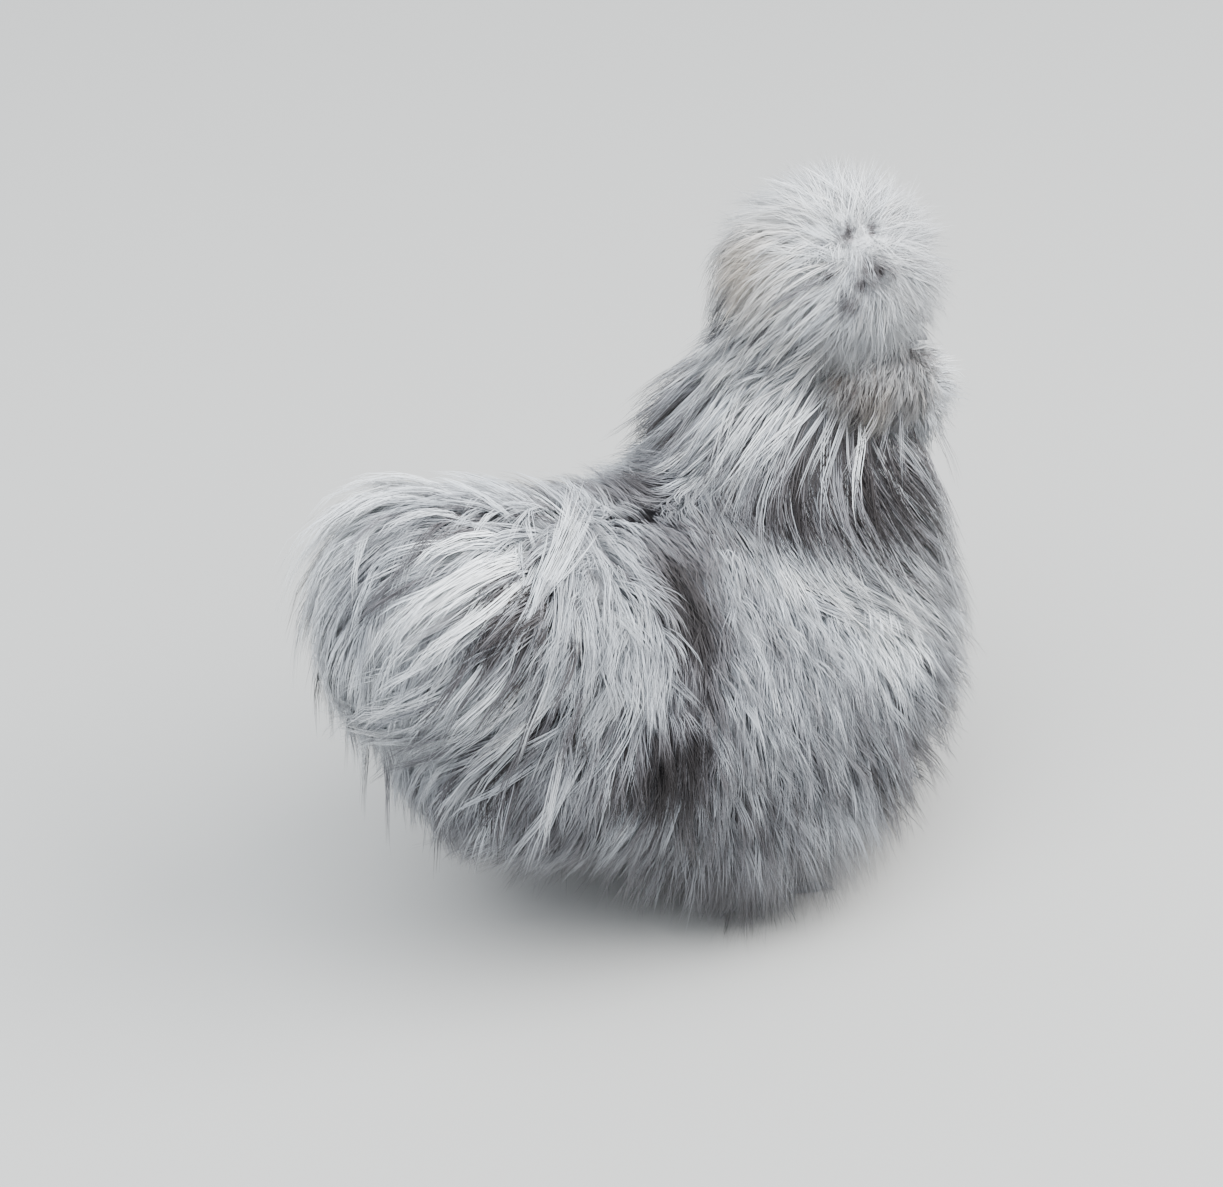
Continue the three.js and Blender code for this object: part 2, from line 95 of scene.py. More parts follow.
forms = {
    "crest": [egg((101, -5, 315), (45, 46, 41))],
    "beard": [headEgg((25, -2, -28), (24, 29, 19))],
    "torso": [
        egg((67, 0, 116), (91, 91, 84)), egg((-5, 0, 128), (105, 87, 84)), egg((-82, 0, 130), (62, 62, 56)),
    ],
    "saddle": [egg((-66, 0, 182), (68, 66, 54)), egg((-108, 0, 204), (52, 54, 52))],
    "tail": [egg((-138, 0, 216), (33, 40, 42))],
    "neck": [egg((77, 0, 196), (66, 73, 60)), egg((89, -4, 240), (42, 46, 46))],
    "muffRight": [headEgg((-1, -29, -7), (25, 15, 19))],
    "muffLeft": [headEgg((-1, 29, -7), (25, 15, 19))],
    "wingRight": [egg((-10, -76, 132), (62, 12, 36), -28)],
    "wingLeft": [egg((-10, 76, 132), (62, 12, 36), -28)],
    "thighRight": [egg((34, -55, 63), (57, 35, 40))],
    "thighLeft": [egg((14, 54, 63), (57, 35, 40))],
    "footRight": [egg((20, -54, 22), (17, 14, 22))],
    "footLeft": [egg((0, 52, 22), (17, 14, 22))],
}
blend = 28  # how far apart two eggs begin to run together
faceMiddle = onHead((30, 0, -2))


def eggsOf(names):
    return [one for name in names for one in forms[name]]


def eggDistance(one, points):
    local = ((points - one["middle"]) @ one["turn"]) / one["half"]
    far = np.linalg.norm(local, axis=-1)
    return far * (far - 1) / np.maximum(np.linalg.norm(local / one["half"], axis=-1), 1e-9)


def distance(eggs, points):
    near = eggDistance(eggs[0], points)
    for one in eggs[1:]:
        own = eggDistance(one, points)
        share = np.maximum(blend - np.abs(near - own), 0) / blend
        near = np.minimum(near, own) - share * share * blend / 4
    return near


def outward(eggs, points):
    return unit(columns(*(distance(eggs, points + step) - distance(eggs, points - step) for step in np.eye(3) / 2)))


def settle(eggs, points, height, times=2):
    for _ in range(times):
        points = points + outward(eggs, points) * (height - distance(eggs, points))[:, None]
    return points


def ripple(points, size, seed):  # soft noise from a few crossed waves, about -1 to 1
    draw = np.random.default_rng(seed)
    total = np.zeros(len(points))
    for _ in range(7):
        way = unit(draw.normal(size=3)) * draw.uniform(0.6, 1.7) * 2 * math.pi / size
        total += np.sin(points @ way + draw.uniform(0, 2 * math.pi))
    return total / 3


def ease(values, low, high):
    share = np.clip((values - low) / (high - low), 0, 1)
    return share * share * (3 - 2 * share)


# Markings and painted light: how pale and how tan the plumage is, with painted shade low down and some patches
# painted lighter or darker for how the light falls. Skin and coat both read them from here.
plainColours = {  # how pale and how tan each kind of form is
    "crest": (0.95, 0.2), "beard": (0.95, 0.14), "muff": (0.74, 0.35), "neck": (0.6, 0.12), "saddle": (0.8, 0.03),
    "tail": (0.74, 0.03), "torso": (0.7, 0.03), "wing": (0.74, 0.03), "thigh": (0.7, 0.2), "foot": (0.5, 0.03),
}
# Painted shade: the body's lower part is painted greyer, where it is shaded from above.
paintedLowShade = [(0.28, -155, -55), (0.04, -45, -10)]  # how much greyer low down, and between which depths
# Each patch: its place, its reach, how much paler, 2 where the other side has it too, and how much more tan. Most are
# the plumage's own markings; some are painted light and shade, noted below.
patches = [
    # (87, 3, 358) is partly painted light, paler on the crest's top where the light falls
    (87, 3, 358, 24, 0.22, 1), (93, -34, 356, 10, -0.12, 1), (83, -56, 313, 9, 0.25, 2),
    (51, 8, 326, 24, 0.5, 1, 0.55), (58, 24, 272, 15, -0.55, 1), (57, -18, 288, 12, -0.6, 2),
    (64, -39, 295, 10, -0.65, 2, 0.2), (74, -38, 282, 8, -0.2, 2, 0.45), (87, -52, 266, 15, -0.2, 2, 0.35),
    (51, -27, 263, 18, 0.6, 2), (56, -48, 250, 12, 0.25, 2), (89, -60, 243, 13, 0.4, 2), (45, 0, 258, 16, 0.5, 1),
    (15, -8, 228, 15, 0.45, 2), (21, 33, 225, 15, 0.2, 1), (46, 36, 244, 13, -0.45, 1), (36, -55, 226, 14, -0.45, 2),
    (76, -72, 218, 17, -0.5, 2), (58, -72, 213, 14, -0.2, 2), (113, -59, 219, 21, -0.42, 2),
    (140, 0, 215, 26, -0.35, 1), (6, 14, 218, 20, -0.35, 1), (2, -24, 218, 20, -0.2, 2),
    (-15, -26, 224, 14, -0.12, 2), (29, 30, 238, 14, -0.25, 1), (-27, -48, 212, 17, -0.8, 2),
    (-29, -65, 192, 16, -0.75, 2), (-36, -80, 170, 15, -0.3, 2), (-50, -92, 148, 17, -0.6, 2),
    (-70, -93, 130, 22, -0.75, 2), (-52, -104, 114, 17, -0.45, 2), (-27, -101, 108, 10, 0.3, 2),
    (-64, -60, 222, 20, 0.14, 2), (-62, -76, 192, 13, 0.16, 2), (-79, -76, 182, 9, 0.3, 2),
    (-84, -84, 155, 9, 0.35, 2), (-106, -30, 256, 14, 0.3, 2), (-138, -32, 252, 18, 0.3, 2),
    (-166, -29, 236, 15, 0.35, 2), (-160, 32, 235, 22, 0.25, 1), (-176, 15, 205, 20, 0.3, 1),
    (44, -9, 262, 16, 0.45, 1), (87, -55, 258, 10, 0.35, 2), (54, -76, 200, 12, 0.4, 2), (41, -97, 56, 24, 0.15, 2),
    # (-130, -48, 226) is painted shadow, in the dark gap under the white fan
    (-150, -42, 202, 14, 0.3, 2), (-128, -52, 198, 13, 0.3, 2), (-130, -48, 226, 12, -1.0, 2),
    (-128, -45, 164, 14, -0.6, 2), (-101, -64, 168, 9, -0.4, 2), (-80, -60, 84, 20, 0.1, 2),
    (-108, -63, 116, 14, -0.3, 2), (-81, -68, 108, 12, 0.4, 2), (-122, -46, 161, 10, -0.35, 2),
    (16, -44, 207, 8, 0.35, 2), (30, -60, 196, 9, 0.4, 2), (-44, -56, 216, 9, -0.35, 2), (-48, -68, 200, 8, -0.35, 2),
    # (-174, -16, 198) is painted light, on the rear's left side, which faces away from the lamps
    (-132, -54, 202, 13, 0.5, 2), (-174, -16, 198, 22, 0.5, 1), (-148, -13, 148, 16, 0.25, 1),
    (-68, -18, 243, 14, 0.25, 2), (10, -95, 42, 22, 0.2, 2), (-122, -36, 94, 20, 0.15, 2), (49, -76, 186, 14, 0.5, 2),
    # (78, -96, 158) is painted light, on the breast where it gets less light from the lamps
    (28, -62, 198, 12, 0.4, 2), (67, -102, 184, 20, 0.25, 2), (78, -96, 158, 25, 0.75, 2),
    (128, -66, 160, 26, 0.1, 2), (42, -112, 150, 10, -0.35, 2), (12, -111, 162, 9, -0.35, 2),
    # (40, -98, 48) is painted light, on the low fluff at the front, which lies in the body's shade
    (40, -98, 48, 28, 0.45, 2),
]


def kindOf(form):  # a form's name without its side
    return form.removesuffix("Right").removesuffix("Left")


def markingsAndPaintedLight(form, points):
    pale, tan = (np.full(len(points), value) for value in plainColours[kindOf(form)])
    for x, y, z, reach, paler, count, *browner in patches:
        for side in (1, -1)[:count]:
            away = points - (x, y * side, z)
            share = np.exp(-(away * away).sum(1) / reach ** 2)
            pale += paler * share
            tan += sum(browner) * share
    # painted shade: greyer low down on the body
    pale -= sum(depth * ease(-points[:, 2], low, high) for depth, low, high in paintedLowShade)
    return pale, tan


# Shader groups
def newGroup(name, inputs, outputs):  # an input without a value is a vector
    group = bpy.data.node_groups.new(name, "ShaderNodeTree")
    for label, value in inputs.items():
        kind = "NodeSocketVector" if value is None else "NodeSocketFloat"
        socket = group.interface.new_socket(name=label, in_out="INPUT", socket_type=kind)
        if value is not None:
            socket.default_value = value
    for label, kind in outputs.items():
        group.interface.new_socket(name=label, in_out="OUTPUT", socket_type="NodeSocket" + kind)
    return group, group.nodes.new("NodeGroupInput").outputs, group.nodes.new("NodeGroupOutput")


def give(thing, **values):  # sets several properties
    for name, value in values.items():
        setattr(thing, name, value)
    return thing


def feed(tree, node, values):  # sets the inputs that get a number or a colour, and links the others
    for label, value in values.items():
        if isinstance(value, (int, float, tuple)):
            node.inputs[label].default_value = value
        else:
            tree.links.new(value, node.inputs[label])
    return node


def addNode(tree, kind, values, **properties):
    return feed(tree, give(tree.nodes.new("ShaderNode" + kind), **properties), values)


def mathNode(tree, operation, *values):
    return addNode(tree, "Math", dict(enumerate(values)), operation=operation).outputs[0]


def vectorNode(tree, operation, *values, output=0):
    return addNode(tree, "VectorMath", dict(enumerate(values)), operation=operation).outputs[output]


def noiseNode(tree, place, scale, detail=3):
    return addNode(tree, "TexNoise", {"Vector": place, "Scale": scale, "Detail": detail}).outputs["Fac"]


def mixNode(tree, share, first, second, mode="MIX"):  # its colours are sockets 6 and 7, and come out at 2
    return addNode(tree, "Mix", {0: share, 6: first, 7: second}, data_type="RGBA", blend_type=mode).outputs[2]


def rampNode(tree, share, stops):
    node = addNode(tree, "ValToRGB", {"Fac": share})
    band = node.color_ramp.elements
    while len(band) < len(stops):
        band.new(0.5)
    for element, (place, colour) in zip(band, stops):
        give(element, position=place, color=(*colour, 1))
    return node.outputs["Color"]


def bumpNode(tree, height, strength, depth, invert=False):
    values = {"Strength": strength, "Distance": depth, "Height": height}
    return addNode(tree, "Bump", values, invert=invert).outputs["Normal"]


def attributeNode(tree, name, output="Fac"):
    return addNode(tree, "Attribute", {}, attribute_name=name).outputs[output]


def objectPlace(tree):
    return addNode(tree, "TexCoord", {}).outputs["Object"]


spotSettings = {
    "ragged": 0.4, "noise": (260, 4), "noiseMiddle": 0.42, "reach": 1.6,
    "marks": [  # small dark marks on the crest, each a direction from its middle and a size in millimetres
        ((-0.28, -0.5, 0.82), 6), ((0.061, -0.586, 0.808), 3.5), ((-0.197, -0.869, 0.454), 7.5),
        ((-0.354, -0.866, 0.354), 6), ((-0.53, -0.825, 0.196), 6), ((-0.632, -0.613, 0.474), 3.5),
        ((0.198, -0.97, -0.139), 4.5), ((-0.06, -0.9, 0.43), 4),
    ],
}


def spotsGroup():
    settings, crest = spotSettings, forms["crest"][0]
    group, given, result = newGroup("crestSpots", {"Place": None, "Ragged": settings["ragged"]}, {"Mask": "Float"})
    noise = mathNode(group, "SUBTRACT", noiseNode(group, given["Place"], *settings["noise"]), settings["noiseMiddle"])
    ragged = mathNode(group, "MULTIPLY", noise, given["Ragged"])
    fromMiddle = vectorNode(group, "SUBTRACT", given["Place"], tuple(toFrame(crest["middle"])))
    way = vectorNode(group, "NORMALIZE", fromMiddle)
    total = 0.0
    for towards, size in settings["marks"]:
        away = mathNode(group, "ADD", vectorNode(group, "DISTANCE", way, towards, output="Value"), ragged)
        reach = float(size * settings["reach"] / crest["half"].mean())
        near = addNode(group, "MapRange", {"Value": away, "From Min": reach, "From Max": 0})
        total = mathNode(group, "MAXIMUM", near.outputs["Result"], total)
    feed(group, result, {"Mask": total})
    return group


crestSpots = spotsGroup()
plumageSettings = {
    "stops": [
        (0.0, (0.017, 0.014, 0.015)), (0.2, (0.045, 0.041, 0.044)), (0.4, (0.15, 0.147, 0.162)),
        (0.6, (0.345, 0.365, 0.40)), (0.8, (0.60, 0.64, 0.69)), (1.0, (0.90, 0.94, 0.98)),
    ],
    "tan": (0.62, 0.47, 0.32, 1), "mottle": 0.22, "mottleScale": 160, "spot": 0.7, "tips": 0.08, "range": 0.8,
    "roughness": 0.5, "roughnessMottle": 0.2,
}


def plumageGroup():
    settings = plumageSettings
    group, given, result = newGroup("plumage", {"Place": None, "Pale": 0.6, "Tan": 0.1, "Along": 0.0, "Spot": 0.0},
                                    {"Colour": "Color", "Roughness": "Float"})
    mottle = noiseNode(group, given["Place"], settings["mottleScale"])
    change = mathNode(group, "MULTIPLY", mathNode(group, "SUBTRACT", mottle, 0.5), settings["mottle"])
    pale = mathNode(group, "ADD", given["Pale"], change)
    pale = mathNode(group, "SUBTRACT", pale, mathNode(group, "MULTIPLY", given["Spot"], settings["spot"]))
    pale = mathNode(group, "MULTIPLY_ADD", given["Along"], settings["tips"], pale)
    grey = rampNode(group, mathNode(group, "MULTIPLY", pale, settings["range"]), settings["stops"])
    warm = mixNode(group, given["Tan"], (1, 1, 1, 1), settings["tan"])
    feed(group, result, {
        "Colour": mixNode(group, 1.0, grey, warm, "MULTIPLY"),
        "Roughness": mathNode(group, "MULTIPLY_ADD", mottle, settings["roughnessMottle"], settings["roughness"]),
    })
    return group


plumage = plumageGroup()


def newMaterial(name):
    material = bpy.data.materials.new(name)
    material.use_nodes = True
    tree = material.node_tree
    return material, tree, tree.nodes["Principled BSDF"]


def plumageNode(tree, place, labels):  # the colours, with the crest's marks
    marks = addNode(tree, "Group", {"Place": objectPlace(tree)}, node_tree=crestSpots)
    values = {"Place": place, "Spot": marks.outputs["Mask"]}
    values.update({label: attributeNode(tree, label.lower()) for label in labels})
    return addNode(tree, "Group", values, node_tree=plumage).outputs


featherSettings = {
    "surface": {"Specular IOR Level": 0.25, "Sheen Weight": 0.15, "Sheen Roughness": 0.5}, "bodyShare": 0.88,
}


def featherMaterial():
    material, tree, shader = newMaterial("silkyFeather")
    made = plumageNode(tree, attributeNode(tree, "root", "Vector"), ("Pale", "Tan", "Along"))
    # The light falls on a strand partly as on the body under it, which makes the coat soft.
    own = addNode(tree, "NewGeometry", {}).outputs["Normal"]
    values = {0: featherSettings["bodyShare"], 4: own, 5: attributeNode(tree, "body", "Vector")}
    normal = vectorNode(tree, "NORMALIZE", addNode(tree, "Mix", values, data_type="VECTOR").outputs[1])
    feed(tree, shader, {
        "Base Color": made["Colour"], "Roughness": made["Roughness"], "Normal": normal, **featherSettings["surface"],
    })
    return material


feather = featherMaterial()
print("plumage materials made")


# Coat: tufts of fine closed strands along guides that grow from the body and follow the lie of the feathers
rootSettings = {
    "bareFace": {"crest": 31, "muff": 24, "beard": 13}, "bareElse": 23,  # how far from the face
    "deepest": -7, "jitter": (1.6, 0.6), "mapEdge": 0.01,
}


def rootsOn(form, tufts, draw, clear):
    eggs = forms[form]
    bare = rootSettings["bareFace"].get(kindOf(form), rootSettings["bareElse"])
    others = eggsOf(name for name in forms if name != form and not (form == "torso" and "wing" in name))
    golden = math.pi * (3 - math.sqrt(5))
    unevenLevel, unevenAround = rootSettings["jitter"]
    areas = np.array([one["half"].prod() ** (2 / 3) for one in eggs])
    roots, maps = [], []
    for band, (one, share) in enumerate(zip(eggs, areas / areas.sum())):
        count = int(tufts * share)
        index = np.arange(count)
        level = 1 - (2 * index + draw.random(count) * unevenLevel) / count
        around = index * golden + draw.normal(size=count) * unevenAround / math.sqrt(count)
        ring = np.sqrt(np.maximum(1 - level * level, 0))
        ball = columns(level, ring * np.cos(around), ring * np.sin(around))
        roots.append((ball * one["half"]) @ one["turn"].T + one["middle"])
        across = (around / (2 * math.pi)) % 1
        maps.append(columns(across, (band + (level + 1) / 2) / len(eggs)))
    roots, maps = np.concatenate(roots), np.concatenate(maps)
    shown = (distance(eggs, roots) > rootSettings["deepest"]) & (np.linalg.norm(roots - faceMiddle, axis=1) > bare)
    for one in others:
        shown &= eggDistance(one, roots) > clear
    edge = rootSettings["mapEdge"]
    return roots[shown], maps[shown] * (1 - 2 * edge) + edge


variety = {"length": (0.75, 1.2), "lift": (0.35, 1.25), "reach": (0.62, 1.0), "width": (0.7, 1.25), "tan": 0.06}
strandShape = {
    "along": (0, 0.25, 0.6, 1), "width": (0.7, 1, 0.75, 0.12), "depth": 0.4, "frayFrom": 1.5, "waves": 5,
    "flat": 0.6, "flatFray": 0.7,
}


def guides(coat, over, roots, flow, draw):
    between = 2  # steps from one station to the next
    steps = coat["steps"] * between
    count = len(roots)
    length = coat["length"] * draw.uniform(*variety["length"], count) * coat["vary"](roots)
    lift = coat["lift"] * draw.uniform(*variety["lift"], count) * coat["vary"](roots)
    turn = draw.normal(size=count) * coat["stray"] + ripple(roots, 40, 5) * coat["stray"]
    point = settle(over, roots, -coat["sink"])
    back = outward(over, point)
    stations, backs = [point], [back]
    last = back
    for i in range(1, steps + 1):
        share = i / steps
        way = flow(roots, back, point)
        way = unit(way - back * (way * back).sum(1, keepdims=True))
        way = unit(way + np.cross(back, way) * turn[:, None])
        if share > coat["hold"]:
            way = unit(last - (0, 0, coat["droop"]))
        start = point
        point = point + way * (length / steps)[:, None]
        if share <= coat["hold"]:
            height = -coat["sink"] + (lift + coat["sink"]) * (share / coat["hold"]) ** coat["rise"]
            point = settle(over, point, height, 1)
        last = unit(point - start)
        back = outward(over, point)
        if i % between == 0:
            stations.append(point)
            backs.append(back)
    return np.stack(stations, 1), np.stack(backs, 1)


def strandsAlong(stations, backs, coat, draw):
    tufts, marks = stations.shape[:2]
    count = coat["strands"]
    along = np.linspace(0, 1, marks)
    side = unit(np.cross(np.gradient(stations, axis=1), backs))
    reach = draw.uniform(*variety["reach"], (tufts, count, 1))  # some strands end before the others
    at = along * reach * (marks - 1)
    low = np.minimum(at.astype(int), marks - 2)
    part = (at - low)[..., None]
    tuft = np.arange(tufts)[:, None, None]

    def blended(values):
        return values[tuft, low] * (1 - part) + values[tuft, low + 1] * part

    centre, across, out = blended(stations), unit(blended(side)), unit(blended(backs))
    turn = draw.uniform(0, 2 * math.pi, (tufts, count, 1, 1))
    spread = coat["spread"] * np.sqrt(draw.random((tufts, count, 1, 1)))
    down = along[:, None]
    closing = 1 - coat["clump"] * down
    fray = draw.normal(size=(2, tufts, count, 1, 1)) * coat["fray"] * down ** strandShape["frayFrom"]
    phase = draw.uniform(0, 2 * math.pi, (2, tufts, count, 1, 1))
    wave = coat["wave"] * np.sin(phase + down * strandShape["waves"]) * down
    centre = centre + across * (spread * np.cos(turn) * closing + fray[0] + wave[0])
    height = spread * np.sin(turn) * closing * strandShape["flat"]
    centre = centre + out * (height + fray[1] * strandShape["flatFray"] + wave[1] * strandShape["flat"])
    width = coat["width"] * draw.uniform(*variety["width"], (tufts, count, 1))
    return centre, out, width * np.interp(along, strandShape["along"], strandShape["width"]), blended


def setAttribute(mesh, name, values, kind="FLOAT"):
    field = "value" if kind == "FLOAT" else "vector"
    mesh.attributes.new(name, kind, "POINT").data.foreach_set(field, values.astype(np.float32).ravel())


def strandMesh(name, strands):
    tufts, count, marks = strands["centre"].shape[:3]
    total = tufts * count
    points = strands["centre"].reshape(total, marks, 3)
    backs = strands["out"].reshape(total, marks, 3)
    wide = strands["width"].reshape(total, marks, 1)
    tangent = unit(np.gradient(points, axis=1))
    side = unit(np.cross(tangent, backs))
    back = np.cross(side, tangent)
    ridge = points + back * wide * strandShape["depth"]
    rings = np.stack([points - side * wide / 2, ridge, points + side * wide / 2], 2)
    verts = np.concatenate([rings[:, :-1].reshape(total, -1, 3), points[:, -1:]], 1)
    each = verts.shape[1]
    faces = [(0, 2, 1)]  # the root's cap, then the sides, then the tip
    for k in range(marks - 2):
        for j in range(3):
            a, b = 3 * k + j, 3 * k + (j + 1) % 3
            faces += [(a, b, b + 3), (a, b + 3, a + 3)]
    tip = each - 1
    faces += [(tip - 3 + j, tip - 3 + (j + 1) % 3, tip) for j in range(3)]
    allFaces = (np.arange(total)[:, None, None] * each + np.array(faces)[None]).reshape(-1, 3)
    mesh = bpy.data.meshes.new(name)
    mesh.vertices.add(total * each)
    mesh.vertices.foreach_set("co", toFrame(verts).astype(np.float32).ravel())
    mesh.loops.add(allFaces.size)
    mesh.loops.foreach_set("vertex_index", allFaces.astype(np.int32).ravel())
    mesh.polygons.add(len(allFaces))
    mesh.polygons.foreach_set("loop_start", np.arange(0, allFaces.size, 3, dtype=np.int32))
    mesh.update(calc_edges=True)
    mesh.polygons.foreach_set("use_smooth", np.ones(len(allFaces), bool))

    def onRings(values):  # three for each ring, one for the tip
        return np.concatenate([np.repeat(values[:, :-1], 3, axis=1), values[:, -1:]], 1)

    level = onRings(np.linspace(0, 1, marks)[None])[0]
    setAttribute(mesh, "along", np.tile(level, total))
    for label in ("pale", "tan"):
        setAttribute(mesh, label, onRings(strands[label].reshape(total, marks)))
    setAttribute(mesh, "body", onRings(backs), "FLOAT_VECTOR")
    setAttribute(mesh, "root", np.repeat(toFrame(points[:, 0]), each, axis=0), "FLOAT_VECTOR")
    tuftOnMap = 0.003
    lane = np.concatenate([np.tile([0.15, 0.5, 0.85], marks - 1), [0.5]])
    own = (np.arange(total) % count)[:, None]
    flat = np.repeat(strands["map"], count, axis=0)[:, None, :] + np.stack(
        [((own + lane) / count - 0.5) * tuftOnMap, np.broadcast_to((level - 0.5) * tuftOnMap, (total, each))], 2)
    layer = mesh.uv_layers.new(name="OFBake")
    layer.data.foreach_set("uv", flat.reshape(-1, 2)[allFaces.ravel()].astype(np.float32).ravel())
    mesh.materials.append(feather)
    piece = bpy.data.objects.new(name, mesh)
    bpy.context.scene.collection.objects.link(piece)
    return piece


pieces = {}


def growCoat(name, parts, coat, seed):  # a part: form, number of tufts, what they lie on, flow, and where they root
    made = []
    for row, (form, tufts, over, flow, *near) in enumerate(parts):
        draw = np.random.default_rng(seed * 100 + row)
        roots, tuftMap = rootsOn(form, tufts, draw, coat["clear"])
        keep = near[0](roots) if near else coat["keep"](roots)
        roots, tuftMap = roots[keep], tuftMap[keep]
        stations, backs = guides(coat, eggsOf(over), roots, flow, draw)
        low = stations[:, :, 2].min(1)
        stations[:, :, 2] += np.maximum(coat["floor"] - low, 0)[:, None]  # nothing hangs through the floor
        centre, out, width, blended = strandsAlong(stations, backs, coat, draw)
        centre[..., 2] = np.maximum(centre[..., 2], coat["floor"])
        pale, tan = (values.reshape(stations.shape[:2]) for values in markingsAndPaintedLight(form, stations.reshape(-1, 3)))
        middle = round(0.6 * coat["steps"])
        pale = pale * coat["marked"] + pale[:, middle:middle + 1] * (1 - coat["marked"])
        uneven = ripple(roots, coat["lock"], 11) * coat["mottle"] + draw.normal(size=len(roots)) * coat["streak"]
        pale += coat["tone"] + uneven[:, None]
        pale -= (draw.random(len(roots)) < coat["darkShare"])[:, None] * coat["darker"]
        tan = np.clip(tan + draw.normal(size=(len(roots), 1)) * variety["tan"], 0, 1)
        fine = draw.normal(size=(len(roots), coat["strands"], 1)) * coat["streak"] * coat["fine"]
        tuftMap[:, 0] = (tuftMap[:, 0] + row) / len(parts)
        made.append({
            "centre": centre, "out": out, "width": width, "map": tuftMap,
            "pale": blended(pale[..., None])[..., 0] + fine, "tan": blended(tan[..., None])[..., 0],
        })
    pieces[name] = strandMesh(name, {label: np.concatenate([part[label] for part in made]) for label in made[0]})
    print(name, len(pieces[name].data.polygons), "triangles")


def everywhere(points):
    return np.ones(len(points), bool)


def steady(*way):
    return lambda root, back, point: np.broadcast_to(way, point.shape)


def awayFrom(middle, rest):
    def flow(root, back, point):
        return unit((root - middle) * (1, 1, 0)) + rest
    return flow


# A tuft has strands of so many steps, and follows its flow until hold, after which it droops.
baseCoat = {
    "strands": 7, "steps": 3, "length": 40, "lift": 14, "sink": 4, "rise": 0.6, "hold": 0.8, "droop": 0.2,
    "stray": 0.16, "spread": 2.6, "clump": 0.35, "fray": 1.4, "wave": 0.6, "width": 0.5, "clear": -1, "fine": 0.4,
    "mottle": 0.1, "streak": 0.08, "lock": 12, "marked": 0.6, "tone": 0.0, "darkShare": 0.0, "darker": 0.4,
    "floor": 2, "vary": everywhere, "keep": everywhere,
}
crestWhirl = {"top": (98, -32, 350), "reach": 24, "fall": (-0.3, 0, -0.5), "streamers": (-0.8, 0, -0.9)}
crestCoat = {
    **baseCoat, "steps": 2, "length": 24, "lift": 13, "streak": 0.04, "mottle": 0.03, "stray": 0.7, "fray": 2.6,
    "spread": 3.2, "rise": 1.0, "clump": 0.1, "sink": 8, "width": 0.42, "marked": 1.0,
}
crestDown = {**crestCoat, "steps": 1, "strands": 9, "width": 0.32, "length": 23, "fray": 3.4, "stray": 0.5}
streamerCoat = {
    **baseCoat, "length": 43, "lift": 13, "streak": 0.14, "hold": 0.7, "droop": 0.3, "clump": 0.6, "darkShare": 0.22,
    "darker": 0.5, "tone": 0.16, "keep": lambda points: points[:, 0] < 80,
}


def crestFlow(root, back, point):  # out from a soft whirl
    away = root - crestWhirl["top"]
    near = np.exp(-(away * away).sum(1, keepdims=True) / crestWhirl["reach"] ** 2)
    mixed = columns(*(ripple(root, 10, seed) for seed in (31, 32, 33)))
    return unit(away) * (1 - 0.7 * near) + (1 - near) * crestWhirl["fall"] + mixed * near


growCoat("crestCoat", [("crest", 1500, ["crest"], crestFlow)], crestCoat, 1)
growCoat("crestDown", [("crest", 2600, ["crest"], crestFlow)], crestDown, 14)
streamerFlow = awayFrom(crestWhirl["top"], crestWhirl["streamers"])
growCoat("crestStreamers", [("crest", 1500, ["crest", "neck"], streamerFlow)], streamerCoat, 2)
beardCoat = {
    **baseCoat, "steps": 2, "length": 20, "lift": 11, "width": 0.42, "fray": 2.2, "clump": 0.15, "clear": -2,
    "mottle": 0.2, "stray": 0.3,
}
growCoat("beardCoat", [
    ("muffRight", 900, ["muffRight"], steady(-0.68, -0.5, -0.65)),
    ("muffLeft", 900, ["muffLeft"], steady(-0.45, 0.35, -0.95)),
    ("beard", 900, ["beard"], steady(0.15, 0, -1)),
], beardCoat, 3)


def hackleFlow(root, back, point):  # swept back near the head, then down, and forward again at the tips
    rear = 1 - ease(point[:, 0], -15, 32)
    sweep = np.interp(point[:, 2], (195, 212, 235, 262), (0.75, 0.45, 0.02, -0.7))
    sweep = sweep * (1 - 0.7 * ease(point[:, 0], 100, 135))
    return columns(sweep * (1 - rear) - 0.85 * rear, 0, -0.9 + 0.3 * rear)


hackleCoat = {
    **baseCoat, "length": 80, "lift": 16, "steps": 4, "spread": 3.0, "clump": 0.3, "fine": 0.9, "streak": 0.14,
    "mottle": 0.2, "hold": 0.92, "width": 0.46, "rise": 0.5, "stray": 0.14, "darkShare": 0.15,
    "vary": lambda points: np.clip((points[:, 0] - 24) / 40, 0.2, 1),
}
overHackle = ["neck", "torso", "saddle"]
for side, sign in sides:
    hackleCoat["keep"] = lambda points: (points[:, 1] * sign > 0) & (points[:, 0] + 0.3 * points[:, 2] > 90)
    growCoat(f"hackle{side}", [("neck", 2500, overHackle, hackleFlow)], hackleCoat, 40 + sign)


def saddleFlow(root, back, point):  # away from a place high on each side, and rearwards in front of it
    apex = columns(-48, np.sign(root[:, 1]) * 14, 236)
    away = unit((point - apex) * (1, 1, 0.3)) * 0.9 + (-0.35, 0, -0.55)
    front = ease(point[:, :1], -54, -30)
    side = np.sign(root[:, 1:2]) * ease(np.abs(point[:, 1:2]), 0, 16)
    return away * (1 - front) + (side * (0, 0.9, 0) + (-0.25, 0, -0.4)) * front


dome = {"middle": (68, 50, 214), "reach": 31}  # the soft rounded part of the saddle on each side


def onDome(points):
    return np.linalg.norm(np.abs(points) - dome["middle"], axis=1) < dome["reach"]


